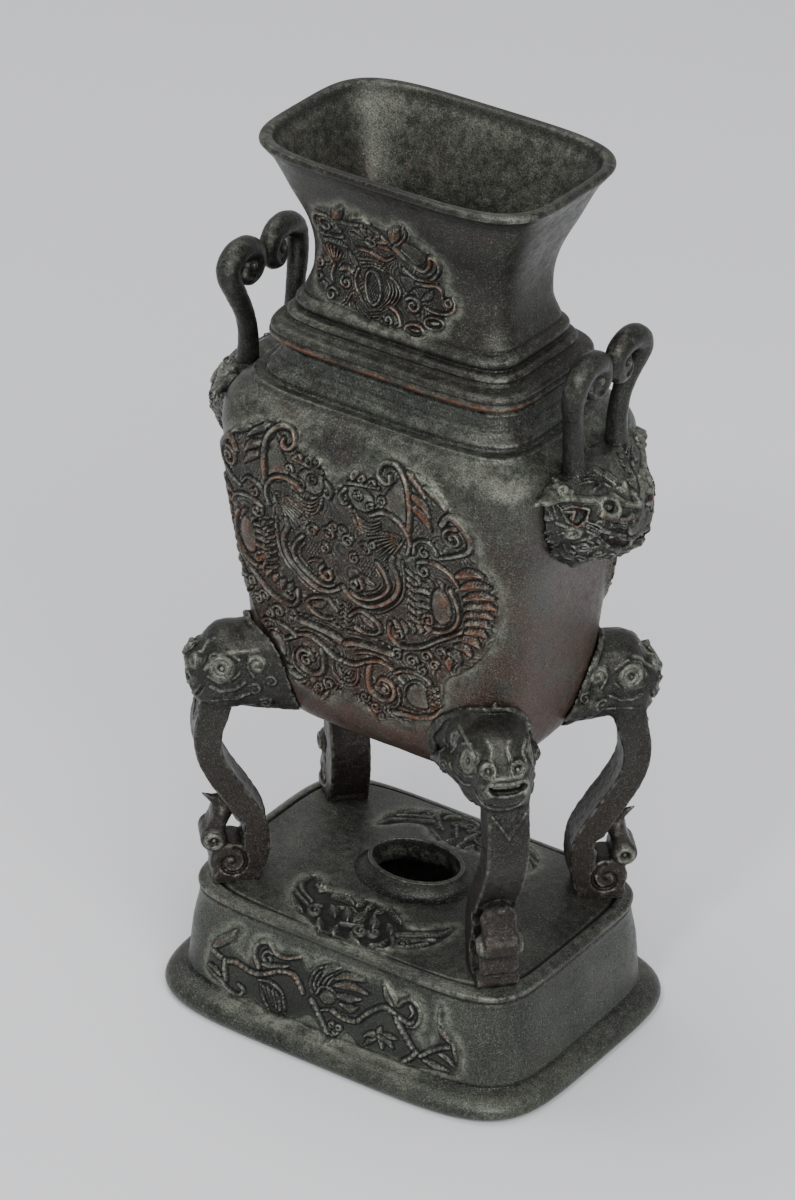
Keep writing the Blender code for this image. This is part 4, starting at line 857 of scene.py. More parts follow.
def make_neck(material):
    """The flared neck with its two rolls, its carved panels and its lip."""
    shares = spread_shares(290, 56, 160)
    rolls, flare = neck_profiles()
    t = np.linspace(0, 1, 9)
    lip = np.stack([NECK_HEIGHT - LIP_HEIGHT + LIP_HEIGHT * (1 - np.cos(math.pi * t)) / 2,
                    RIM_HALF_LENGTH - 2 * LIP_EDGE * (t - 0.4) ** 2 / 0.36 - 0.25 * (1 - t)], 1)
    outer = np.vstack([even_rows(rolls, 0.40), even_rows(np.vstack([rolls[-1:], flare]), FINE_ROW)[1:], lip])
    rim = RIM_HALF_LENGTH - NECK_WALL
    top = NECK_HEIGHT
    bore = [(0.0, rolls[0, 1] - NECK_WALL)]
    bore += [(z, a) for z, a in even_rows(shifted_in(flare, NECK_WALL), COARSE_ROW) if z < top - 3.4]
    bore += [(top - 1.9, rim - 1.5), (top - 0.8, rim - 1.0), (top - 0.2, rim - 0.4), (top, rim + 0.3)]
    rings = neck_rings(outer, shares)
    panels = two_faces(rings, FLOWER_SHIFT, FLOWER_MIDDLE, flower_outline(), flower_panel,
                       (9, 0.95, 0.22, 60), edge=0.8)
    carved, lift, halo, deep = carve(rings, panels, FLOWER_DEPTH)
    lip_base = NECK_BASE + NECK_HEIGHT - LIP_HEIGHT
    grain = skin(carved, lift, (8, 9), 0.06, 6.0, 0.10) * np.clip((lip_base - carved[:, :, 2]) / 3.0, 0, 1)
    carved = beaded(carved + normals(rings) * grain[..., None], NECK_LINES)
    copper = 1.4 * np.exp(-((carved[:, :, 2] - COPPER_LINE) / COPPER_LINE_HALF_WIDTH) ** 2)
    from_front = np.array([arc_from_front(ring) for ring in rings])
    lift = np.maximum(lift, copper * (np.abs(from_front) < COPPER_LINE_REACH))
    deep[-len(lip) - 3:] = 0.30
    inside_rings = neck_rings(bore[::-1], shares)
    plain = np.zeros(inside_rings.shape[:2])
    bare = 1.0 * (inside_rings[:, :, 2] > NECK_BASE + NECK_HEIGHT - 3.0)
    mesh = loft("Neck", np.concatenate([carved, inside_rings]), "joined", lift=np.concatenate([lift, plain]),
                halo=np.concatenate([halo, 0.20 * (1 - bare)]), deep=np.concatenate([deep, 0.3 * bare]))
    return dress("Neck_carved", mesh, "Neck", material, NECK_TRIANGLES)


def vine_panel(sheet):
    """The beaded vine with leaves and a peony round the plinth."""
    ridge, leaf = sheet.ridge, sheet.leaf

    def beads(line, size=0.75, pitch=2.1):
        """Small round beads in a row along a stem."""
        run = np.concatenate([[0], np.cumsum(np.linalg.norm(np.diff(line, axis=0), axis=1))])
        for at in np.arange(pitch / 2, run[-1], pitch):
            x, y = np.interp(at, run, line[:, 0]), np.interp(at, run, line[:, 1])
            k = np.flatnonzero(np.hypot(sheet.u - x, sheet.v - y) < size)
            gap = np.hypot(sheet.u[k] - x, sheet.v[k] - y) / size
            sheet.height[k] += 0.28 * np.sqrt(np.clip(1 - gap ** 2, 0, 1))

    stems = (
        [(-49.5, 1.0), (-44.0, -0.8), (-39.0, 0.3), (-33.6, -0.7), (-30.0, -0.6), (-26.4, 0.8),
         (-21.0, 3.8), (-16.0, 4.6), (-13.0, 2.4), (-11.0, -0.6)],
        [(-43.6, -0.8), (-43.4, -4.6), (-42.6, -7.8)],
        [(12.0, -2.6), (14.4, 0.4), (17.3, 3.2), (21.8, 6.2), (26.4, 4.8), (31.0, 3.8), (33.0, 4.6)],
        [(26.4, 3.9), (29.0, 0.6), (31.4, -2.0), (34.5, -5.2), (37.3, -6.3), (40.5, -3.6), (44.0, -1.2),
         (47.6, 0.4)],
        [(35.4, -6.0), (33.6, -8.6), (31.0, -10.8)],
        [(-7.4, -2.0), (-4.4, -5.4), (-2.0, -9.0), (0.6, -12.0)],
        [(1.4, -2.8), (5.6, -4.0), (10.2, -3.6)],
    )
    # Loops of the two branches
    ridge([(-29.6, 2.2), (-31.6, 6.4), (-30.4, 10.8), (-26.6, 12.2), (-23.6, 9.6),
           (-19.0, 9.4), (-13.4, 11.8)], 2.2, 0.7, taper=0.3)
    ridge(scroll(-26.0, 6.6, 2.8, 60, 1.2), 1.3, 0.6)
    leaf([(-28.0, 4.0), (-22.6, 4.6), (-17.0, 7.4)], 3.0, 0.6)
    leaf([(-49.2, 1.8), (-46.2, 5.2), (-42.0, 9.0), (-39.6, 12.6)], 3.6, 0.62, barb=1.3)
    ridge([(-51.0, -6.6), (-48.4, -7.6), (-45.2, -8.6), (-42.4, -10.6), (-38.6, -11.6),
           (-35.6, -10.6), (-35.0, -8.4), (-37.2, -7.4)], 2.0, 0.66, taper=0.3)
    leaf([(-50.6, -5.0), (-47.4, -6.0), (-44.6, -7.4)], 2.6, 0.6)
    # Fern leaf
    ridge([(-28.0, -3.4), (-26.8, -8.0), (-23.6, -12.2)], 1.0, 0.6)
    for k in range(5):
        leaf([(-27.4 + 1.9 * k, -3.6 - 0.2 * k), (-24.8 + 1.7 * k, -6.4 - 0.5 * k),
              (-22.8 + 1.2 * k, -9.8 - 0.6 * k)], 1.9, 0.6, barb=1.2, depth=0.25)
    ridge([(-29.0, -2.4), (-24.0, -1.6), (-19.6, -3.6), (-18.0, -7.6), (-17.4, -11.2)], 1.1, 0.6)
    # Peony: shells on the left, leaves on the right, a cup below
    for k in range(5):
        d = 1.5 * k
        ridge([(-2.2 + 0.5 * d, 12.4 - 0.5 * d), (-6.4 + d, 9.6 - 0.3 * d),
               (-8.4 + 1.1 * d, 4.6), (-7.4 + 1.1 * d, 0.6 + 0.5 * d)], 1.1, 0.62, moat=0.35)
    for line in (((1.6, 9.4), (6.4, 11.6), (13.6, 12.6)), ((1.2, 6.6), (7.0, 8.6), (15.4, 8.2)),
                 ((2.0, 3.6), (7.4, 4.0), (12.6, 5.6)), ((-3.6, 8.4), (-1.4, 11.8), (3.2, 13.8)),
                 ((4.4, 1.0), (8.4, 0.6), (11.6, 2.4))):
        leaf(list(line), 3.4, 0.64, barb=1.25, depth=0.5)
    sheet.plate([(-4.6, 0.6), (-2.6, 3.4), (0.6, 3.6), (2.0, 1.4), (0.8, -0.6), (-2.4, -1.4)], 0.6, 1.2)
    ridge([(-5.6, 0.8), (-3.6, 4.4), (0.4, 4.8), (2.8, 2.4)], 1.1, 0.66)
    ridge([(-4.6, -5.2), (-1.2, -3.4), (4.0, -2.4), (9.4, -3.2)], 1.2, 0.6)
    for x, y in ((0.2, -10.4), (3.4, -10.2), (1.8, -12.6), (1.8, -8.2), (4.6, -8.0)):
        ridge(oval(x, y, 0.9, 0.9), 1.2, 0.6, taper=0)
    # Loops, lobed leaf and thin leaves on the right
    ridge([(20.6, 13.8), (24.0, 11.4), (26.6, 8.8), (28.6, 10.8), (31.4, 12.6), (34.6, 10.8),
           (35.8, 7.2), (34.2, 3.8), (31.0, 2.8)], 2.1, 0.7, taper=0.1)
    leaf([(20.6, 13.2), (22.6, 9.6), (25.6, 7.4)], 2.6, 0.55)
    ridge([(31.4, 10.0), (32.8, 8.0), (31.6, 5.6)], 1.3, 0.6)
    for tip, middle in (((15.0, -11.0), (17.6, -7.6)), ((14.6, -7.4), (17.8, -5.4)),
                        ((22.6, -9.8), (21.8, -6.8)), ((28.0, -3.6), (24.0, -4.0)),
                        ((21.4, -1.2), (20.6, -3.4)), ((27.0, -7.6), (24.0, -5.8))):
        leaf([(20.2, -5.2), middle, tip], 2.6, 0.62, barb=1.2, depth=0.4)
    leaf([(42.4, 12.8), (43.0, 8.4), (44.8, 4.6), (48.6, 1.4), (51.0, -5.4)], 2.8, 0.62, barb=1.3)
    leaf([(42.6, 7.0), (45.4, 4.0), (48.4, 2.0)], 2.2, 0.6)
    leaf([(38.2, -7.2), (43.0, -8.2), (48.8, -8.6)], 2.8, 0.6)
    leaf([(44.0, -3.0), (47.6, -4.4), (50.2, -6.8)], 2.2, 0.55)
    for stem in stems:
        line = curve(stem)
        ridge(line, 2.2, 0.55, taper=0.1, flat=0.3)
        beads(line)


def vine_outline():
    """The edge of the plinth's side panel."""
    return [(-51.8, -1), (-50.4, 4), (-45, 9.6), (-40.4, 13.8), (-37.6, 12.4), (-40.8, 5.6), (-34.4, 2.6),
            (-32.8, 8), (-30.6, 12.6), (-26, 13.6), (-21.6, 11.2), (-13.2, 13), (-9.6, 9), (-4.8, 13.8),
            (4, 15), (14, 13.8), (19.8, 14.6), (25.4, 11.2), (31, 14), (36, 11.4), (37, 5.6), (34.6, 0.4),
            (38.4, -2.4), (41.8, 1), (42, 13.6), (44, 13.4), (46, 6.6), (50.4, 3), (52.6, -5.4),
            (50.8, -9.6), (42, -10.2), (33.4, -12), (24, -11.4), (14, -12), (8, -9), (4.4, -13.4),
            (-1, -13.4), (-7.2, -8), (-15.6, -12.8), (-25, -12.8), (-31.8, -11), (-38, -12.8),
            (-46, -10.6), (-52.4, -8)]


def crescent_panel(sheet):
    """Leaves and buds in a sunk crescent on the plinth's top; +v points to the oval."""
    for x, y, r, start in ((-16.1, -3.0, 2.8, 90), (3.3, -4.2, 2.6, 120), (18.9, -3.0, 2.4, 60),
                           (7.6, -2.6, 1.8, 200), (-22.4, 9.2, 2.6, 300)):
        sheet.ridge(scroll(x, y, r, start, 1.2), 1.5, 0.62)
    for width, *line in (
            (1.7, (-29.2, 2.8), (-24.4, 0.2), (-19.9, -1.8)),
            (1.8, (-28.8, 11.0), (-29.2, 7.4), (-26.0, 3.4), (-20.4, 0.6)),
            (1.9, (15.0, 0.8), (20.8, 4.6), (26.8, 8.8), (28.6, 13.8)),
            (1.6, (17.0, -1.0), (22.0, 1.6), (27.0, 5.0)),
            (1.5, (14.4, -1.6), (16.6, -4.4), (16.2, -7.6), (13.0, -8.8)),
            (1.1, (-10.6, 2.0), (-6.4, 4.2), (-3.6, 3.0)),
            (1.2, (-5.0, -4.0), (-1.2, -3.0), (2.0, -1.6))):
        sheet.ridge(line, width, 0.6)
    for width, *line in (
            (3.4, (-15.6, 6.4), (-11.0, 8.0), (-7.0, 6.4)), (3.6, (-12.6, 1.6), (-10.4, 0.2), (-8.6, -2.2)),
            (3.2, (-7.6, 3.4), (-5.4, 1.0), (-3.8, -1.8)), (4.4, (-1.4, -1.2), (-1.4, 2.0), (-0.8, 5.2)),
            (3.0, (2.8, 4.6), (5.0, 1.6), (6.0, -1.0)), (3.4, (5.6, 10.4), (9.0, 8.6), (12.4, 6.4)),
            (2.4, (-5.6, 6.4), (-5.2, 8.4), (-4.2, 10.0)), (2.4, (-1.8, 6.6), (-1.6, 8.8), (-1.2, 10.6)),
            (2.4, (2.0, 6.6), (2.6, 8.4), (3.6, 10.0)), (3.0, (9.4, 3.4), (12.0, 1.6), (13.2, -0.8)),
            (2.8, (-5.0, -6.0), (-4.6, -8.6), (-3.6, -10.6)),
            (2.8, (-12.6, -6.0), (-10.8, -8.8), (-9.0, -11.0)),
            (2.8, (1.0, -6.6), (3.4, -8.6), (6.2, -9.4)), (2.8, (-27.0, -1.0), (-23.8, -3.6), (-19.8, -5.4)),
            (2.8, (21.0, -3.2), (24.0, -0.6), (26.2, 2.2)), (2.6, (10.0, -8.4), (12.8, -6.6), (13.6, -3.6)),
            (2.4, (-26.8, 12.4), (-24.6, 12.6), (-22.4, 11.2))):
        sheet.leaf(line, width, 0.62, barb=1.15, depth=0.4)


def crescent_outline():
    """The edge of the crescent."""
    return [(-30, 3), (-30.4, 9), (-28, 13.4), (-23.4, 13), (-21.4, 8.6), (-16.4, 8.6), (-10.6, 9.6),
            (-6.6, 9), (-5, 11), (0, 11.6), (4.6, 10.6), (6, 12), (11.6, 8.8), (15.4, 6), (21, 8),
            (26.4, 14), (29.4, 15), (30, 8), (28, 1), (23, -4), (17.4, -6.6), (14.6, -9.8), (9, -10.6),
            (4, -10.8), (-3, -12), (-9, -12.4), (-15, -8.4), (-21, -6.8), (-27, -2)]


def plinth_top_rows():
    """Sizes of the sections over the domed top, from the rounded edge in to the oval collar."""
    start = PLINTH_HALF_LENGTH * 0.965
    rows = []
    for t in np.linspace(0, 1, 100):
        a = (1 - t) * start + t * (OVAL_HALF_LENGTH + OVAL_FLARE)
        b = (1 - t) * (start - LENGTH_LESS_WIDTH) + t * (OVAL_HALF_WIDTH + OVAL_FLARE)
        power = PLINTH_POWER + (OVAL_POWER - PLINTH_POWER) * t ** 0.7
        rise = PLINTH_EDGE + (PLINTH_DOME - PLINTH_EDGE) * math.sin(t * math.pi / 2)
        rows.append((a, b, power, PLINTH_HEIGHT + rise))
    return rows


def plinth_side_rows():
    """Sizes of the sections up the outside: the foot flange, the wall and the rounded edge."""
    flange = curve([(z * FLANGE_HEIGHT, FOOT_HALF_LENGTH - back * FLANGE_HEIGHT)
                    for z, back in FLANGE_PROFILE], 4)
    rows = [(a, a - FOOT_LESS_WIDTH, FOOT_POWER, max(z, 0.0)) for z, a in even_rows(flange, 0.5)]
    wall = scaled(PLINTH_WALL_PROFILE, PLINTH_HEIGHT, PLINTH_HALF_LENGTH, 6)
    for z, a in even_rows(wall, 0.40):
        power = FOOT_POWER + (PLINTH_POWER - FOOT_POWER) * min(1, 1.6 * z / PLINTH_HEIGHT)
        rows.append((a, a - LENGTH_LESS_WIDTH, power, z))
    return rows


def carved_dome(dome):
    """The domed top with its two crescents and the groove along its edge, and its three layers."""
    lift, halo, deep = (np.zeros(dome.shape[:2]) for _ in range(3))
    for way in (-1, 1):
        u, w = -way * dome[:, :, 0], CRESCENT_MIDDLE - way * dome[:, :, 1]
        near = (np.abs(u) < 34) & (np.abs(w) < 19)
        sheet = Sheet(u[near], w[near], crescent_outline(), pad=-0.45, edge=0.7)
        crescent_panel(sheet)
        lift[near] = sheet.height
        # The crescent's sunk ground is marked deep, for painted shade
        deep[near] = 0.55 * sheet.within * np.clip((0.15 - sheet.height) / 0.6, 0, 1)
        halo[near] = np.maximum(np.exp(-((sheet.edge_gap + 0.6) / 1.4) ** 2), np.clip(sheet.height, 0, 0.6))
    row = np.arange(len(dome))
    groove = np.exp(-((row - GROOVE_ROW) / 1.3) ** 2)
    rubbed = np.exp(-((row - 1.0) / 1.5) ** 2)
    dome[:, :, 2] += CRESCENT_DEPTH * lift
    dome[:, :, 2] -= GROOVE_DEPTH * groove[:, None]
    # The groove is marked deep too, for painted shade along it
    deep = np.maximum(deep, 0.7 * groove[:, None])
    halo = np.maximum(halo, 0.5 * rubbed[:, None])
    return dome, lift, halo, deep


def make_plinth(material):
    """The hollow plinth with its vine panels, its leaf crescents and the oval collar."""
    shares = spread_shares(330, 70, 190, 0.165, 0.20)
    side, top = plinth_side_rows(), plinth_top_rows()
    rings = np.array([section(*row, shares) for row in side])
    panels = two_faces(rings, 0.0, VINE_MIDDLE, vine_outline(), vine_panel, pad=0.30, edge=0.7)
    wall, lift, halo, deep = carve(rings, panels, VINE_DEPTH)
    grain = noise(wall, 0.9, 11) * 0.05 * (lift > 0.05)
    wall = beaded(wall + normals(rings) * grain[..., None], PLINTH_LINES)

    dome, dome_lift, dome_halo, dome_deep = carved_dome(np.array([section(*row, shares) for row in top]))
    collar = curve([(OVAL_FLARE * 0.62, 0.08), (OVAL_FLARE * 0.34, 0.28), (0.5, 0.58), (0.1, 0.84),
                    (0.0, 0.95), (-0.3, 1.0), (-OVAL_WALL + 0.3, 1.0), (-OVAL_WALL, 0.93),
                    (-OVAL_WALL, 0.2), (-OVAL_WALL, -WALL / OVAL_COLLAR_HEIGHT)], 3)
    ends = [section(OVAL_HALF_LENGTH + grow, OVAL_HALF_WIDTH + grow, OVAL_POWER,
                    PLINTH_TOP + rise * OVAL_COLLAR_HEIGHT, shares) for grow, rise in collar]
    ends += [section(a, b, power, z - WALL, shares) for a, b, power, z in top[:20:-16]]
    ends += [section(a - WALL, b - WALL, power, z - WALL, shares)
             for a, b, power, z in (top[1], side[-8], side[-50], side[20])]
    a = FOOT_HALF_LENGTH - FLANGE_HEIGHT
    ends.append(section(a, a - FOOT_LESS_WIDTH, FOOT_POWER, 0.0, shares))
    plain = np.zeros((len(ends), len(shares)))
    mesh = loft("Plinth", np.concatenate([wall, dome, np.array(ends)]), "joined",
                lift=np.concatenate([lift * 0.84, np.maximum(dome_lift, 0) * 0.4, plain]),
                halo=np.concatenate([halo, dome_halo, plain]), deep=np.concatenate([deep, dome_deep, plain]))
    return dress("Plinth_carved", mesh, "Plinth", material, PLINTH_TRIANGLES)


def reach_to(line, radii, x, y, z):
    """Signed distance to a round bar that follows the line, with a radius at each point."""
    line = np.asarray(line, float)
    radii = np.broadcast_to(np.asarray(radii, float), (len(line),))
    best = np.full(np.broadcast(x, y, z).shape, 1e3)
    for i in range(len(line) - 1):
        a, d = line[i], line[i + 1] - line[i]
        t = ((x - a[0]) * d[0] + (y - a[1]) * d[1] + (z - a[2]) * d[2]) / max(d @ d, 1e-9)
        t = np.clip(t, 0, 1)
        gap = np.sqrt((x - a[0] - t * d[0]) ** 2 + (y - a[1] - t * d[1]) ** 2 + (z - a[2] - t * d[2]) ** 2)
        best = np.minimum(best, gap - radii[i] - t * (radii[i + 1] - radii[i]))
    return best


def body_gap(x, y, z):
    """Rough distance outward from the body's surface."""
    rows = np.vstack([[-30.0, 0.0], body_outer()])
    a = np.interp(z - BODY_BASE, rows[:, 0], rows[:, 1])
    slope = np.gradient(rows[:, 1], rows[:, 0] + np.arange(len(rows)) * 1e-6)
    slope = np.interp(z - BODY_BASE, rows[:, 0], slope)
    b = np.maximum(a - LENGTH_LESS_WIDTH, 1.0)
    a = np.maximum(a, 1.0)
    share = ((np.abs(x) / a) ** BODY_POWER + (np.abs(y) / b) ** BODY_POWER) ** (1 / BODY_POWER)
    return np.hypot(x, y) * (1 - 1 / np.maximum(share, 1e-6)) / np.sqrt(1 + np.clip(slope, -4, 4) ** 2)


class Clay:
    """A solid kept as signed distances on a grid, in millimetres, below zero inside."""

    def __init__(self, low, high, step):
        """An empty block between two corners."""
        self.step = step
        self.axes = [np.arange(a, b + step, step) for a, b in zip(low, high)]
        self.field = np.full([len(axis) for axis in self.axes], 6.0, np.float32)
        self.pale = []
        self.copper = []

    def window(self, low, high):
        """The part of the grid between two corners, and its coordinates."""
        part = tuple(slice(max(0, int((a - axis[0]) / self.step)), max(0, int((b - axis[0]) / self.step)) + 2)
                     for axis, a, b in zip(self.axes, low, high))
        x, y, z = np.meshgrid(*[axis[s] for axis, s in zip(self.axes, part)], indexing="ij", sparse=True)
        return part, x, y, z

    def merge(self, part, shape, soft, cut=False):
        """Join a shape to the field, or cut it out, with an edge as soft as given."""
        old = -self.field[part] if cut else self.field[part]
        share = np.clip(0.5 + 0.5 * (old - shape) / max(soft, 1e-6), 0, 1)
        new = old * (1 - share) + shape * share - soft * share * (1 - share)
        self.field[part] = -new if cut else new

    def tube(self, line, radii, soft=0.5, cut=False, pale=False, copper=False):
        """Add, or cut, a round bar along a line."""
        line = np.asarray(line, float)
        most = float(np.max(radii)) + soft + self.step
        part, x, y, z = self.window(line.min(0) - most, line.max(0) + most)
        self.merge(part, reach_to(line, radii, x, y, z), soft, cut)
        if pale:
            self.pale.append((line, float(np.max(radii))))
        if copper:
            self.copper.append((line, float(np.max(radii))))

    def trace(self, line, radius, soft, fewest=4, **look):
        """A bar along a line that was laid on the surface, left out where too little of it landed."""
        if len(line) >= fewest:
            self.tube(line, radius, soft, **look)

    def ball(self, centre, radii, soft=1.0, cut=False):
        """Add, or cut, an oval ball."""
        centre, radii = np.array(centre, float), np.array(radii, float)
        part, x, y, z = self.window(centre - radii - soft - 1, centre + radii + soft + 1)
        share = np.sqrt(((x - centre[0]) / radii[0]) ** 2 + ((y - centre[1]) / radii[1]) ** 2
                        + ((z - centre[2]) / radii[2]) ** 2)
        self.merge(part, (share - 1) * radii.min(), soft, cut)

    def band(self, line, half_thick, half_width, edge=1.0, soft=0.8, dish=0.0, middle=0.0):
        """Add a flat-sided band that follows a line in the plane of the first and last axis."""
        line = np.asarray(line, float)
        most = float(np.max(half_thick)) + soft + 1
        low = (line[:, 0].min() - most, middle - half_width - 1, line[:, 1].min() - most)
        high = (line[:, 0].max() + most, middle + half_width + 1, line[:, 1].max() + most)
        part, x, y, z = self.window(low, high)
        flat = np.stack([line[:, 0], np.zeros(len(line)), line[:, 1]], 1)
        side = np.abs(y - middle)
        thick = reach_to(flat, half_thick, x, 0 * y[:, :1], z) + dish * (1 - (side / half_width) ** 2)
        wide = side - half_width
        p, q = thick + edge, wide + edge
        shape = np.minimum(np.maximum(p, q), 0) + np.hypot(np.maximum(p, 0), np.maximum(q, 0)) - edge
        self.merge(part, shape, soft)

    def laid(self, points, axis=0, way=1, sink=0.0):
        """Points of the other two axes, set down on the surface as seen along an axis."""
        others = [k for k in range(3) if k != axis]
        found = []
        for b, c in points:
            at = [0, 0, 0]
            at[others[0]] = int(round((b - self.axes[others[0]][0]) / self.step))
            at[others[1]] = int(round((c - self.axes[others[1]][0]) / self.step))
            at[axis] = slice(None)
            column = self.field[tuple(at)]
            solid = np.flatnonzero(column < 0)
            if not len(solid):
                continue
            i = solid[-1] if way > 0 else solid[0]
            j = i + way
            t = column[i] / (column[i] - column[j])
            point = [0.0, 0.0, 0.0]
            point[others[0]], point[others[1]] = b, c
            point[axis] = self.axes[axis][i] + way * (t * self.step - sink)
            found.append(point)
        return np.array(found)

    def ring(self, b, c, radius, thick, axis=0, way=1, count=16, **settings):
        """A raised ring laid on the surface round a point."""
        self.trace(self.laid(oval(b, c, radius, radius, 0, count), axis, way), thick, 0.3, 3, **settings)

    def roughen(self, size, depth, seed):
        """Uneven casting skin."""
        near = np.abs(self.field) < 1.5
        where = np.argwhere(near) * self.step + [axis[0] for axis in self.axes]
        self.field[near] += (noise(where, size, seed) * depth).astype(np.float32)

    def net(self):
        """Points and four-sided faces where the field crosses zero."""
        f = self.field
        cells = np.array(f.shape) - 1
        total = np.zeros((cells.prod(), 3))
        hits = np.zeros(cells.prod())
        faces = []
        for axis in range(3):
            b, c = [k for k in range(3) if k != axis]
            low, high = [slice(None)] * 3, [slice(None)] * 3
            low[axis], high[axis] = slice(0, -1), slice(1, None)
            f0, f1 = f[tuple(low)], f[tuple(high)]
            at = np.argwhere((f0 < 0) != (f1 < 0))
            at = at[(at[:, b] > 0) & (at[:, c] > 0) & (at[:, b] < cells[b]) & (at[:, c] < cells[c])]
            v0, v1 = f0[tuple(at.T)], f1[tuple(at.T)]
            point = at.astype(float)
            point[:, axis] += v0 / (v0 - v1)
            corners = []
            for db, dc in ((1, 1), (0, 1), (0, 0), (1, 0)):
                cell = at.copy()
                cell[:, b] -= db
                cell[:, c] -= dc
                flat = np.ravel_multi_index(tuple(cell.T), cells)
                np.add.at(total, flat, point)
                np.add.at(hits, flat, 1)
                corners.append(flat)
            quad = np.stack(corners, 1)
            turned = (v0 < 0) != (axis == 1)
            faces.append(np.where(turned[:, None], quad, quad[:, ::-1]))
        faces = np.vstack(faces)
        used = np.flatnonzero(hits)
        number = np.full(len(hits), -1)
        number[used] = np.arange(len(used))
        points = total[used] / hits[used, None] * self.step + [axis[0] for axis in self.axes]
        return points, number[faces]

    def painted(self, points, lines):
        """How much each point is coloured by the lines laid on it, from 0 to 1."""
        value = np.zeros(len(points))
        x, y, z = points.T
        for line, radius in lines:
            low, high = line.min(0) - radius - 1.5, line.max(0) + radius + 1.5
            near = np.all((points > low) & (points < high), axis=1)
            gap = reach_to(line, radius, x[near], y[near], z[near])
            value[near] = np.maximum(value[near], np.clip(1 - (gap - 0.05) / 0.45, 0, 1))
        return value


def leg_clay(reach):
    """One leg in its own frame: r outward from the foot's end, side, height; reach is the collar's."""
    clay = Clay((-31, -25, 42), (13.5, 20, 151), 0.42)
    unit = LEG_RISE / 100
    spine = curve([(-0.8, 129.0, 19.2), (2.8, 111.0, 17.6), (6.2, 96.0, 16.0), (5.0, 82.0, 14.8),
                   (-1.6, 68.0, 14.6), (-11.2, 53.0, 14.7), (-18.8, 38.0, 15.3), (-20.6, 23.0, 14.7),
                   (-17.6, 10.0, 13.7), (-9.6, 4.0, 12.8), (-2.4, 6.0, 10.5)], 4)
    spine = spine * unit + (0, PLINTH_HEIGHT, 0)
    clay.band(spine[:, :2], spine[:, 2] / 2, LEG_HALF_WIDTH + 0.4, edge=0.9, dish=0.55)
    # Foot: a scroll with a toe under it, and a spiral on each flat side
    clay.band([(-4.6, 52.2), (-4.59, 52.2)], 7.5, LEG_HALF_WIDTH, edge=1.6, soft=1.0)
    clay.band([(-12, 46.4), (-0.4, 46.4)], 2.7, LEG_HALF_WIDTH + 0.4, edge=0.9)
    clay.tube([(2.6, -8, 49.7), (2.6, 8, 49.7)], 0.6, 0.4, cut=True)
    # Tendril: a volute with ringed knobs, a stem along the shank and a pointed leaf
    clay.band([(-0.4, 69.0), (0.6, 65.6), (0.6, 59.0)], [2.2, 2.9, 3.2], 5.6, edge=1.9, soft=1.6)
    clay.ball((-1.2, 0, 70.2), (3.4, 5.9, 5.2), 1.8)
    clay.band([(-5.4, 74.0), (-3.4, 71.6), (-1.4, 70.6)], [1.8, 2.2, 2.0], 4.0, edge=1.6, soft=1.4)
    clay.band([(1.6, 61.2), (1.61, 61.2)], 4.5, 6.4, edge=1.6, soft=1.0)
    clay.tube([(-1.6, 0, 73.6), (2.0, 0, 74.8), (5.2, 0, 76.8)], [2.2, 1.3, 0.3], 1.6)
    clay.tube([(-6.2, -9, 65.9), (-6.2, 9, 65.9)], 2.9, 0.5, cut=True)
    for side in (-1, 1):
        turn = scroll(-4.4, 52.4, 5.6, 100, 1.35)
        at = np.stack([turn[:, 0], np.full(len(turn), side * (LEG_HALF_WIDTH + 0.1)), turn[:, 1]], 1)
        clay.tube(at, np.linspace(0.8, 0.55, len(at)), 0.5, cut=True)
        ring = oval(1.6, 61.2, 2.5, 2.5, 0, 18)
        at = np.stack([ring[:, 0], np.full(18, side * 6.6), ring[:, 1]], 1)
        clay.tube(at, 0.85, 0.4, pale=True)
        clay.ball((1.6, side * 6.6, 61.2), (1.3, 1.5, 1.3), 0.3, cut=True)
        clay.ball((1.6, side * 5.9, 61.2), (0.8, 0.8, 0.8), 0.2)
    clay.tube(clay.laid([(-5.2, 56.8), (0, 56.2), (5.2, 56.8)]), 0.5, 0.3, cut=True)

    # Head: rows of distance outward, lowest, highest, half width
    middle = HEAD_SHIFT
    rows = np.array([(-31, 111.0, 146.0, 13.0), (-18, 112.6, 146.2, 13.0), (-12, 113.4, 144.8, 12.6),
                     (-8, 114.2, 143.4, 12.2), (-4, 115.0, 141.6, 11.6), (0, 116.0, 139.8, 10.9),
                     (4, 117.0, 138.4, 10.2), (7, 118.0, 136.2, 9.2), (9.0, 119.2, 134.2, 8.2),
                     (11.4, 121.6, 132.6, 6.2)])
    part, x, y, z = clay.window((-31, -25, 105), (13, 20, 150))
    low, high, half = (np.interp(x, rows[:, 0], rows[:, k]) for k in (1, 2, 3))
    share = ((np.abs(y - middle) / half) ** 2.5
             + (np.abs(z - (low + high) / 2) / ((high - low) / 2)) ** 2.5) ** (1 / 2.5)
    snout = np.interp(z, *zip(*SNOUT))
    head = np.maximum((share - 1) * half * 0.9, (x - snout) * 0.8)
    clay.merge(part, head, 1.6)
    clay.ball((4.4, middle, 119.8), (5.2, 8.6, 3.6), 1.2)
    clay.ball((-3.0, middle, 137.2), (8.4, 9.8, 6.6), 2.0)
    for side in (-1, 1):
        clay.ball((-2.0, middle + side * 7.6, 124.0), (6.4, 4.4, 7.5), 2.0)
        clay.ball((6.0, middle + side * 4.9, 131.8), (3.6, 3.4, 3.4), 1.2)
        # Cheek that runs back to the tip of the collar
        out = (reach - 1.0) / 14.0 if side < 0 else 0.95
        clay.tube([(-6.0, middle + side * 6.0 * out, 127.0), (-14.0, side * 11.4 * out, 124.8),
                   (-22.5, side * 14.0 * out, 121.4)], [6.4, 4.4, 1.6], 1.2)
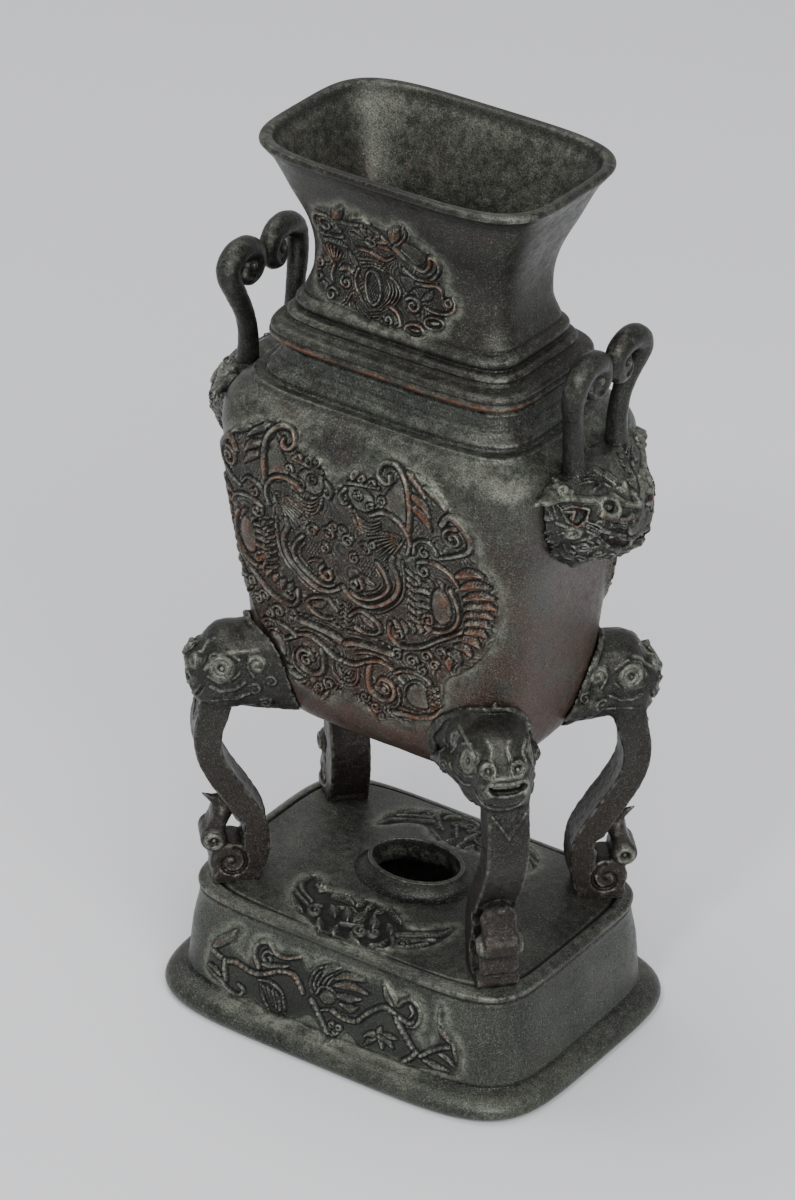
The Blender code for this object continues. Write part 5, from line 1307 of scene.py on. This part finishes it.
    # Collar plate, which lies against the body's corner, with a pointed tip
    c, n = math.cos(LEG_ANGLE), math.sin(LEG_ANGLE)
    gap = body_gap(FOOT_X + x * c + y * n, -FOOT_Y - x * n + y * c, z)
    across = y - COLLAR_MIDDLE
    rim = np.hypot(across / np.where(across < 0, reach, COLLAR_REACH), (z - HEAD_MIDDLE) / COLLAR_HALF_HEIGHT)
    plate = np.maximum(np.maximum(gap - 1.9, (rim - 1) * 15.0), -12.0 - gap)
    clay.merge(part, plate, 1.2)
    wave = 0.2 * np.cos(np.arctan2(z - HEAD_MIDDLE, across) * 11)
    lip = np.hypot(gap - 1.9, (rim - 0.95) * 15.0 + 1.2 * wave) - 0.8
    clay.merge(part, lip, 0.4)
    clay.tube([(-11.4, -1.6, 141.0), (-10.6, -1.5, 144.6), (-9.9, -1.4, 147.2)], [2.4, 1.4, 0.5], 1.2)

    def lay(points, **settings):
        """Points (side, height) set down on the face."""
        return clay.laid([(middle + a, b) for a, b in points], **settings)

    def mark(points, radius, soft=0.3, sink=0.0, **look):
        """A thin raised or cut line on the face."""
        clay.tube(lay(points, sink=sink), radius, soft, **look)

    # Open mouth with its lips and teeth, and the jaw's fold
    mark([(-3.8, 127.3), (-2.0, 127.0), (2.2, 127.0), (4.4, 127.5)], 1.55, sink=0.3, cut=True)
    mark([(-3.4, 126.5), (0.4, 126.2), (4.2, 126.6)], 0.55, 0.2, 0.3, pale=True)
    mark([(-5.8, 129.4), (-3.0, 129.2), (0.4, 128.9), (3.4, 129.3), (6.6, 129.8)], 0.6, 0.3, pale=True)
    mark([(-5.6, 125.2), (-3.0, 124.5), (0.4, 124.3), (3.4, 124.6), (6.2, 125.4)], 0.7, 0.3)
    mark([(-9.4, 126.0), (-7.6, 122.0), (-4.0, 119.8), (0, 119.2), (4.0, 119.8), (7.6, 122.2), (9.0, 126.0)],
         0.5, cut=True)
    mark([(-5.2, 131.2), (-2.4, 131.8), (0.4, 131.4), (3.0, 132.2), (5.2, 132.6)], 0.5, 0.4, pale=True)
    for side in (-1, 1):
        corner = ((5.8, 125.0), (6.8, 126.6), (6.6, 128.6), (5.6, 129.6))
        mark([(side * out + 0.5, level) for out, level in corner], 0.55, 0.3, pale=True)
        # Ringed eyes with long brows up the forehead
        away = side * 4.9 - 1.3
        clay.ball(lay([(away, 133.9)])[0] - (1.2, 0, 0), (2.6, 2.4, 2.4), 0.6)
        clay.ring(middle + away, 133.9, 2.1, 0.62, pale=True)
        eye = lay([(away, 133.9)])[0]
        clay.ball(eye, (1.6, 1.5, 1.5), 0.2, cut=True)
        clay.ball(eye - (0.9, 0, 0.3), (0.95, 0.9, 0.9), 0.2)
        for radius, *brow in (
                (0.46, (-1.9, 132.2), (-2.3, 134.4), (-1.7, 136.4), (-2.3, 138.6), (-1.3, 141.0)),
                (0.42, (2.7, 132.6), (3.4, 135.0), (3.0, 137.0), (4.4, 139.0))):
            mark(curve([(away + side * out, level) for out, level in brow], 3), radius, 0.2, pale=True)
        # Side of the head: big ringed eye, lid, folds and curls
        for radius, thick in ((3.5, 0.55), (2.0, 0.5)):
            clay.ring(0.2, 132.8, radius, thick, axis=1, way=side, pale=True)
        knob = clay.laid([(0.2, 132.8)], 1, side)[0]
        clay.ball(knob, (0.9, 0.9, 0.9), 0.2)
        for line in (((5.6, 132.0), (3.4, 136.6), (-1.0, 138.6), (-5.6, 136.0)),
                     ((-5.6, 131.4), (-2.6, 128.6), (1.4, 128.0), (4.6, 129.6)),
                     ((-7.4, 127.8), (-3.6, 125.2), (0.8, 124.8), (3.8, 126.0)),
                     ((-9.0, 123.6), (-4.6, 121.8), (0.0, 121.6), (3.4, 120.4)),
                     ((-10.4, 130.0), (-8.4, 133.6), (-8.8, 137.2))):
            clay.tube(clay.laid(line, 1, side), 0.6, 0.3)
        for along, level, radius in ((-10.6, 125.2, 2.2), (-11.4, 134.2, 2.9), (-14.6, 119.2, 2.4),
                                     (-16.0, 128.2, 2.0)):
            turn = clay.laid(scroll(along, level, radius, 40, 1.3), 1, side)
            clay.trace(turn, 0.55, 0.25, pale=radius > 2.5)
    # Marks under the chin and down the shank
    clay.tube(clay.laid([(-5.6, 114.6), (-2.8, 110.6), (0, 106.4), (2.8, 110.6), (5.6, 114.6)]), 0.5, 0.3)
    clay.tube(clay.laid([(-3.4, 101.4), (-1.4, 100.4), (0.8, 101.2), (3.2, 100.2)]), 0.35, 0.25)
    for side in (-3.6, -1.2, 1.2, 3.6):
        clay.tube(clay.laid([(side, 116.6), (side * 0.7, 113.0)]), 0.4, 0.25, cut=True)
    # What the body and the plinth leave room for
    part, x, y, z = clay.window((-31, -25, 100), (13, 20, 151))
    gap = body_gap(FOOT_X + x * c + y * n, -FOOT_Y - x * n + y * c, z)
    clay.merge(part, gap - CONTACT_GAP, 0.0, True)
    part, x, y, z = clay.window((-31, -25, 42), (13, 20, 50))
    clay.merge(part, z - (PLINTH_HEIGHT + 1.25) + 0 * x + 0 * y, 0.0, True)
    clay.roughen(1.3, 0.12, 21)
    return clay


def make_legs(material):
    """Four lion-headed legs; those on the left have a narrower collar."""
    c, n = math.cos(LEG_ANGLE), math.sin(LEG_ANGLE)
    for hand, x_way, reach in (("right", 1, RIGHT_COLLAR_REACH), ("left", -1, LEFT_COLLAR_REACH)):
        clay = leg_clay(reach)
        points, faces = clay.net()
        r, side, z = points.T
        world = np.stack([FOOT_X + r * c + side * n, -FOOT_Y - r * n + side * c, z], 1)
        pale = clay.painted(points, clay.pale)
        for front, y_way in (("front", 1), ("back", -1)):
            turned = faces if x_way * y_way > 0 else faces[:, ::-1]
            name = "Leg_" + front + "_" + hand
            mesh = new_mesh(name, world * (x_way, y_way, 1), turned.tolist(), lift=0 * pale, halo=pale)
            dress(name + "_carved", mesh, name, material, LEG_TRIANGLES)


def mask_front(y, z):
    """How far out the beast mask stands at a place, before its details."""
    depth = np.interp(z, *zip(*MASK_DEPTH))
    width = np.interp(z, *zip(*MASK_WIDTH))
    share = np.abs(y) / width
    swell = np.clip(1 - np.minimum(share, 1) ** 1.6, 0, 1) ** 0.62
    return 61.0 + depth * swell - 18.0 * np.clip(share - 1, 0, 1)


def handle_clay():
    """The right handle: two bars over a beast mask."""
    clay = Clay((56.5, -36.5, 190), (84.5, 36.5, 275), 0.45)
    part, x, y, z = clay.window((56.5, -36, 190), (84, 36, 240))
    face = mask_front(y, z)
    roof = z - 230.6 + 0.10 * np.abs(y)
    clay.merge(part, np.clip(np.maximum((x - face) * 0.55, roof), -6, 6), 0.5)
    for side in (-1, 1):
        # Bar, up from the mask, outward, and over to its scroll
        bar = curve([(65.0, 12.2, 221.0, 4.4), (63.8, 12.5, 228.0, 3.9), (63.1, 12.9, 238.0, 3.4),
                     (63.6, 14.4, 247.0, 3.3), (65.0, 17.4, 255.0, 3.6), (66.6, 19.1, 260.5, 3.9),
                     (67.2, 18.3, 264.6, 4.1), (67.2, 14.4, 267.4, 4.2), (67.2, 9.4, 267.6, 4.1),
                     (67.0, 5.6, 265.9, 3.8), (66.9, 3.9, 263.4, 3.5), (66.9, 3.9, 260.0, 3.4),
                     (66.9, 5.8, 257.4, 3.2), (66.9, 8.6, 257.0, 3.0), (66.9, 10.4, 258.8, 2.6)], 4)
        bar[:, 1] *= side
        clay.tube(bar[:, :3], bar[:, 3], 0.5)
        clay.ball((66.9, side * 8.0, 261.2), (2.9, 3.8, 3.8), 0.8)
        for way in (-1, 1):
            turn = scroll(8.0, 261.4, 4.0, 260, 1.05, 1)
            at = np.stack([np.full(len(turn), 66.9 + way * 3.2), side * turn[:, 0], turn[:, 1]], 1)
            clay.tube(at, np.linspace(0.95, 0.6, len(at)), 0.3, cut=True)
            clay.ball((66.9 + way * 2.4, side * 8.0, 261.4), (1.2, 1.5, 1.5), 0.2)
        # Ears: a long point to the side and a small pricked one
        reach = 32.6 if side < 0 else 29.0
        clay.tube([(64.0, side * 18, 224.6), (63.2, side * 25, 225.4), (62.4, side * reach, 225.6)],
                  [3.4, 2.4, 0.7], 1.2)
        clay.tube([(63.0, side * 20, 226.6), (62.2, side * 22.6, 230.6)], [2.6, 0.7], 1.0)
        # Whiskers along the lower edge
        for a, b, radius in ((23.6, 213.0, 1.9), (22.0, 208.4, 1.8), (19.0, 202.4, 2.0), (14.0, 197.6, 2.0),
                             (25.6, 218.0, 1.7)):
            clay.ball((62.0, side * a, b), (2.2, radius * 0.8, radius * 0.8), 0.8)

    for side in (-1, 1):
        def lay(points, sink=-0.45):
            """Points (distance to the side, height) set down on this half of the mask."""
            return clay.laid([(side * a, b) for a, b in points], sink=sink)

        def mark(points, radius, soft=0.3, fewest=2, sink=-0.45, **look):
            """A thin raised or cut line on this half of the mask."""
            clay.trace(lay(points, sink), radius, soft, fewest, **look)

        mark(scroll(21.6, 227.2, 2.2, 200, 1.3), 0.6, 0.3, 4, pale=True)
        # Brow band from the ear's point to the eye
        mark(curve([(30.0, 225.4), (25.6, 225.4), (21.5, 224.8), (17.6, 223.4), (14.0, 222.6)], 4),
             1.0, 0.5, pale=True)
        # Cheek socket: a sunk triangle with a raised copper plate
        edge = [(24.1, 221.4), (21.0, 222.2), (17.3, 220.6), (18.6, 217.5), (20.7, 214.9), (23.0, 217.5)]
        mark([(22.4, 219.8), (20.6, 219.8), (19.0, 219.2), (20.8, 217.2)], 1.9, 0.5, sink=0.4, cut=True)
        mark(edge + edge[:1], 0.5, copper=True)
        mark([(21.8, 219.6), (19.6, 219.4), (20.8, 217.2)], 0.8, 0.3, copper=True)
        # Eye ring with its pupil, and the band under it
        mark(oval(10.8, 219.8, 2.9, 2.7, 0, 18), 0.95, pale=True)
        eye = lay([(10.8, 219.8)])[0]
        clay.ball(eye, (1.9, 1.9, 1.9), 0.3, cut=True)
        clay.ball(eye - (1.0, 0, 0), (1.4, 1.3, 1.3), 0.2)
        mark([(14.6, 218.2), (11.5, 216.2), (7.2, 214.9), (4.4, 215.6)], 0.9, 0.4, copper=True)
        # Nested marks on the forehead
        mark([(4.3, 223.6), (2.4, 221.8), (1.4, 224.4)], 0.75, 0.2, pale=True)
        mark([(7.8, 222.8), (5.6, 219.9), (2.6, 218.2), (0.4, 217.6)], 0.75, 0.3, pale=True)
        mark([(7.4, 224.6), (8.6, 226.2), (12.6, 225.4)], 0.5, 0.3)
        # Muzzle, lips and fangs
        clay.ring(side * 2.9, 213.4, 1.3, 0.6)
        clay.ball(lay([(4.6, 210.6)])[0], (1.6, 2.6, 1.9), 0.6)
        mark([(0.4, 207.6), (4.0, 206.8), (8.0, 208.4), (11.4, 211.6), (15.2, 213.0), (17.6, 211.0)],
             0.85, 0.4)
        mark([(0.4, 205.4), (4.0, 204.6), (8.0, 205.8), (11.6, 208.8)], 1.1, sink=0.3, cut=True, copper=True)
        mark([(0.4, 203.0), (4.4, 202.4), (8.8, 203.8), (12.4, 206.4), (15.0, 209.0)], 0.85, 0.4)
        mark([(5.4, 206.6), (5.6, 203.8)], [0.9, 0.5], 0.2)
        # Curls over the cheek and jaw
        for a, b, radius, start in ((21.4, 212.2, 2.1, 60), (17.6, 206.8, 2.0, 200), (13.0, 203.4, 1.8, 120),
                                    (8.6, 200.4, 1.7, 60), (3.4, 199.6, 1.5, 20), (19.0, 203.0, 1.6, 20),
                                    (15.4, 216.0, 1.3, 150), (12.6, 199.6, 1.5, 300)):
            mark(scroll(a, b, radius, start, 1.2), 0.56, 0.15, 4, pale=a > 20)
        for line in (((22.6, 214.8), (24.6, 216.4)), ((12.2, 209.8), (9.6, 210.6), (7.3, 209.3)),
                     ((18.6, 213.4), (16.0, 211.4), (13.4, 208.0)),
                     ((20.4, 208.8), (18.6, 210.4), (16.2, 208.4))):
            mark(line, 0.5, 0.2)
        # Small strands that fill the cheek and the jaw
        for a, b, run, turn in ((25.2, 220.6, 2.4, 80), (24.8, 210.6, 2.6, 110), (20.2, 205.4, 2.4, 60),
                                (16.4, 200.6, 2.2, 30), (10.6, 198.6, 2.4, 10), (6.0, 200.6, 2.2, 150),
                                (17.4, 214.6, 2.6, 40), (14.4, 205.6, 2.4, 130), (9.6, 213.6, 2.6, 20),
                                (22.8, 206.4, 2.2, 70), (12.4, 228.0, 3.0, 10), (5.4, 227.4, 2.6, 60)):
            c, n = math.cos(math.radians(turn)), math.sin(math.radians(turn))
            for k in (-0.9, 0.0, 0.9):
                mark([(a - run * c - k * n, b - run * n + k * c), (a - k * n, b + k * c + 0.4),
                      (a + run * c - k * n, b + run * n + k * c)], 0.34, 0.1)
    clay.tube(clay.laid([(0, 221.0), (0, 217.6), (0, 214.6)]), [0.8, 1.3, 1.7], 0.5)
    part, x, y, z = clay.window((56.5, -36, 190), (84, 36, 240))
    clay.merge(part, body_gap(x, y, z) - CONTACT_GAP, 0.0, True)
    part, x, y, z = clay.window((80.5, -36, 190), (84, 36, 240))
    clay.merge(part, HANDLE_REACH - x + 0 * y + 0 * z, 0.6, True)
    clay.roughen(1.2, 0.10, 31)
    return clay


def make_handles(material):
    """The two handles, one the mirror image of the other."""
    clay = handle_clay()
    points, faces = clay.net()
    pale, copper = clay.painted(points, clay.pale), clay.painted(points, clay.copper)
    for name, way in (("Handle_right", 1), ("Handle_left", -1)):
        turned = faces if way > 0 else faces[:, ::-1]
        bare = 0.25 * np.clip((points[:, 2] - 230) / 8, 0, 1)
        mesh = new_mesh(name, points * (way, 1, 1), turned.tolist(), lift=copper, halo=pale, deep=bare)
        dress(name + "_carved", mesh, name, material, HANDLE_TRIANGLES)


def new_node(tree, kind, **settings):
    """A new node of a kind, with its own settings."""
    node = tree.nodes.new(kind)
    for key, value in settings.items():
        setattr(node, key, value)
    return node


def noise_node(tree, where, scale, detail=3.0, rough=0.55):
    """Smooth noise with a scale per metre."""
    node = new_node(tree, "ShaderNodeTexNoise")
    node.inputs["Scale"].default_value = scale
    node.inputs["Detail"].default_value = detail
    node.inputs["Roughness"].default_value = rough
    tree.links.new(where, node.inputs["Vector"])
    return node.outputs["Fac"]


def ramp(tree, value, low, high, start=0.0, end=1.0):
    """The value stretched from low..high to start..end, and held there."""
    node = new_node(tree, "ShaderNodeMapRange")
    node.inputs["From Min"].default_value = low
    node.inputs["From Max"].default_value = high
    node.inputs["To Min"].default_value = start
    node.inputs["To Max"].default_value = end
    tree.links.new(value, node.inputs["Value"])
    return node.outputs["Result"]


def maths(tree, operation, a, b):
    """A sum or product of two values, kept from 0 to 1."""
    node = new_node(tree, "ShaderNodeMath", operation=operation)
    node.use_clamp = operation in ("MULTIPLY", "ADD")
    for socket, value in zip(node.inputs, (a, b)):
        if isinstance(value, (int, float)):
            socket.default_value = value
        else:
            tree.links.new(value, socket)
    return node.outputs[0]


def blend(tree, share, under, over):
    """One colour laid over another by a share."""
    node = new_node(tree, "ShaderNodeMix", data_type="RGBA")
    tree.links.new(share, node.inputs["Factor"])
    for socket, value in ((node.inputs["A"], under), (node.inputs["B"], over)):
        if isinstance(value, tuple):
            socket.default_value = (*value, 1)
        else:
            tree.links.new(value, socket)
    return node.outputs["Result"]


def layer(tree, name):
    """A value stored on the mesh's points."""
    node = new_node(tree, "ShaderNodeAttribute", attribute_name=name)
    return node.outputs["Fac"]


def bronze(name, dark, green, brown=BROWN, copper=COPPER, brown_low=None, rough=0.36, dust=0.5, salt=0.5):
    """Old patinated bronze: dark ground, green-grey clouds, dust on ledges, copper high points, painted shade
    in hollows and creases, and pale worn edges that also stand in for painted glints.

    brown_low gives the two heights, in metres, between which a brown lower part fades out.
    """
    material = bpy.data.materials.new(name)
    material.use_nodes = True
    tree = material.node_tree
    shader = tree.nodes["Principled BSDF"]
    where = new_node(tree, "ShaderNodeTexCoord").outputs["Object"]
    clouds = noise_node(tree, where, 36.0, 4.0)
    blots = noise_node(tree, where, 95.0, 3.0, 0.6)
    mottle = noise_node(tree, where, 320.0, 4.0, 0.7)
    speck = noise_node(tree, where, 1750.0, 2.0, 0.75)
    lift, halo, deep = layer(tree, "lift"), layer(tree, "halo"), layer(tree, "deep")
    geometry = new_node(tree, "ShaderNodeNewGeometry")
    edges = geometry.outputs["Pointiness"]
    facing = new_node(tree, "ShaderNodeSeparateXYZ")
    tree.links.new(geometry.outputs["True Normal"], facing.inputs[0])

    def both(a, b):
        """The product of two values."""
        return maths(tree, "MULTIPLY", a, b)

    def step(value, low, high, start=0.0, end=1.0):
        """The value stretched from low..high to start..end."""
        return ramp(tree, value, low, high, start, end)

    color = blend(tree, step(clouds, 0.40, 0.60), dark, green)
    color = blend(tree, step(blots, 0.60, 0.72, 0.0, 0.35), color, brown)
    if brown_low:
        split = new_node(tree, "ShaderNodeSeparateXYZ")
        tree.links.new(where, split.inputs[0])
        low = step(split.outputs["Z"], brown_low[1], brown_low[0])
        color = blend(tree, both(low, step(blots, 0.24, 0.52)), color, brown)
    # Grey-green dust that settles on ledges and in patches; painted shade in the hollows, from the deep
    # layer, which also darkens the rim and the handles' tops as dark patina, and from creases
    ledges = step(facing.outputs["Z"], 0.05, 0.75)
    patches = both(step(clouds, 0.36, 0.62, 0.25, 1.0), step(mottle, 0.36, 0.64))
    settled = maths(tree, "ADD", both(ledges, patches), both(patches, 0.12))
    settled = both(settled, step(deep, 0.0, 0.4, 1.0, 0.1))
    # Painted shade in creases, found from the mesh's pointiness and kept off the pale painted lines
    hollow = both(step(edges, 0.498, 0.474), step(halo, 0.7, 0.2))
    # Copper where the relief is rubbed, pale worn edges that also stand in for painted glints, the rubbed
    # ring round a panel, and pale grains
    bare = maths(tree, "ADD", blots, both(lift, 0.16))
    raised = both(step(lift, 0.58, 0.92), step(bare, 0.62, 0.76))
    worn_and_glint = both(step(edges, 0.512, 0.550), step(mottle, 0.42, 0.58))
    ring = both(halo, step(mottle, 0.30, 0.60))
    grains = both(step(speck, 0.53, 0.66), step(mottle, 0.42, 0.64, 0.3, 1.0))
    grains = both(grains, step(deep, 0.0, 0.6, 1.0, 0.15))
    for share, amount, tint in ((settled, dust, PALE_DUST), (deep, 0.90, RECESS_SHADE_AND_DARK_PATINA), (hollow, 0.85, CREASE_SHADE),
                                (raised, 0.85, copper), (worn_and_glint, 0.62, WORN_EDGE_AND_GLINT), (ring, 0.75, PALE_DUST),
                                (grains, salt, PALE_DUST)):
        color = blend(tree, both(share, amount), color, tint)
    color = blend(tree, step(speck, 0.48, 0.36, 0.0, 0.75), color, PIT)
    tree.links.new(color, shader.inputs["Base Color"])
    shader.inputs["Metallic"].default_value = METAL
    shader.inputs["Specular IOR Level"].default_value = SPECULAR
    rough_map = step(mottle, 0.30, 0.70, rough + ROUGH_SPREAD[0], rough + ROUGH_SPREAD[1])
    tree.links.new(rough_map, shader.inputs["Roughness"])

    bump = new_node(tree, "ShaderNodeBump")
    bump.inputs["Strength"].default_value = 0.55
    bump.inputs["Distance"].default_value = 0.0004
    height = maths(tree, "ADD", both(speck, 0.6), both(mottle, 0.4))
    tree.links.new(height, bump.inputs["Height"])
    tree.links.new(bump.outputs["Normal"], shader.inputs["Normal"])
    return material


def photo_camera():
    """The camera, where the photograph was taken from, framed for 795 x 1200."""
    azimuth, elevation, roll = (math.radians(a) for a in (33.632, 30.033, 1.509))
    distance, focal, height, shift_right, shift_up = 1.8233, 5530.9, 0.160, -0.008867, -0.004817
    back = Vector((math.sin(azimuth) * math.cos(elevation), -math.cos(azimuth) * math.cos(elevation),
                   math.sin(elevation)))
    right = Vector((math.cos(azimuth), math.sin(azimuth), 0))
    up = back.cross(right)
    right, up = (right * math.cos(roll) + up * math.sin(roll), up * math.cos(roll) - right * math.sin(roll))
    data = bpy.data.cameras.new("Camera")
    data.sensor_fit = "VERTICAL"
    data.sensor_height = 36
    data.lens = focal / 1200 * data.sensor_height
    camera = bpy.data.objects.new("Camera", data)
    place = Matrix((right, up, back)).transposed().to_4x4()
    place.translation = Vector((0, 0, height)) + right * shift_right + up * shift_up + back * distance
    camera.matrix_world = place
    bpy.context.scene.collection.objects.link(camera)
    bpy.context.scene.camera = camera


def soft_light(name, place, size, power):
    """A square soft box at a place, turned to the vase."""
    data = bpy.data.lights.new(name, "AREA")
    data.shape = "SQUARE"
    data.size = size
    data.energy = power
    light = bpy.data.objects.new(name, data)
    light.location = place
    light.rotation_mode = "QUATERNION"
    light.rotation_quaternion = (Vector(LIGHT_TARGET) - Vector(place)).to_track_quat("-Z", "Y")
    bpy.context.scene.collection.objects.link(light)


def studio():
    """A plain pale floor, a pale world and soft lights."""
    mesh = bpy.data.meshes.new("Floor")
    corner = [(x * FLOOR_REACH, y * FLOOR_REACH, 0) for x, y in ((-1, -1), (1, -1), (1, 1), (-1, 1))]
    mesh.from_pydata(corner, [], [(0, 1, 2, 3)])
    floor = bpy.data.objects.new("Floor", mesh)
    bpy.context.scene.collection.objects.link(floor)
    material = bpy.data.materials.new("Floor paper")
    material.use_nodes = True
    shader = material.node_tree.nodes["Principled BSDF"]
    shader.inputs["Base Color"].default_value = (*FLOOR_COLOR, 1)
    shader.inputs["Roughness"].default_value = 0.85
    mesh.materials.append(material)
    floor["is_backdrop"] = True
    world = bpy.data.worlds.new("Studio")
    world.use_nodes = True
    background = world.node_tree.nodes["Background"]
    background.inputs["Color"].default_value = (*WORLD_COLOR, 1)
    background.inputs["Strength"].default_value = WORLD_STRENGTH
    bpy.context.scene.world = world
    for light in LIGHTS:
        soft_light(*light)


def corners():
    """The shown object's lowest and highest corner as plain numbers."""
    low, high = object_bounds()
    return [[round(x, 6) for x in low], [round(x, 6) for x in high]]


def main():
    """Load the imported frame, put the castings in place of its solids, and set up the studio."""
    for thing in list(bpy.data.objects):
        bpy.data.objects.remove(thing)
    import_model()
    make_body(bronze("Body bronze", (0.028, 0.031, 0.028), (0.050, 0.058, 0.049), brown_low=(0.125, 0.250),
                     dust=0.48, salt=0.6))
    make_neck(bronze("Neck bronze", (0.0245, 0.0222, 0.0190), (0.037, 0.037, 0.031), rough=0.40, dust=0.34))
    make_plinth(bronze("Plinth bronze", (0.032, 0.034, 0.029), (0.055, 0.059, 0.048), dust=0.24, salt=0.6))
    make_legs(bronze("Leg bronze", (0.023, 0.022, 0.019), (0.034, 0.033, 0.028),
                     brown=(0.029, 0.0215, 0.0182), brown_low=(0.060, 0.116), dust=0.07, salt=0.35))
    make_handles(bronze("Handle bronze", (0.022, 0.021, 0.019), (0.034, 0.036, 0.030),
                        copper=(0.080, 0.032, 0.022), dust=0.42, salt=0.4))
    photo_camera()
    studio()


main()
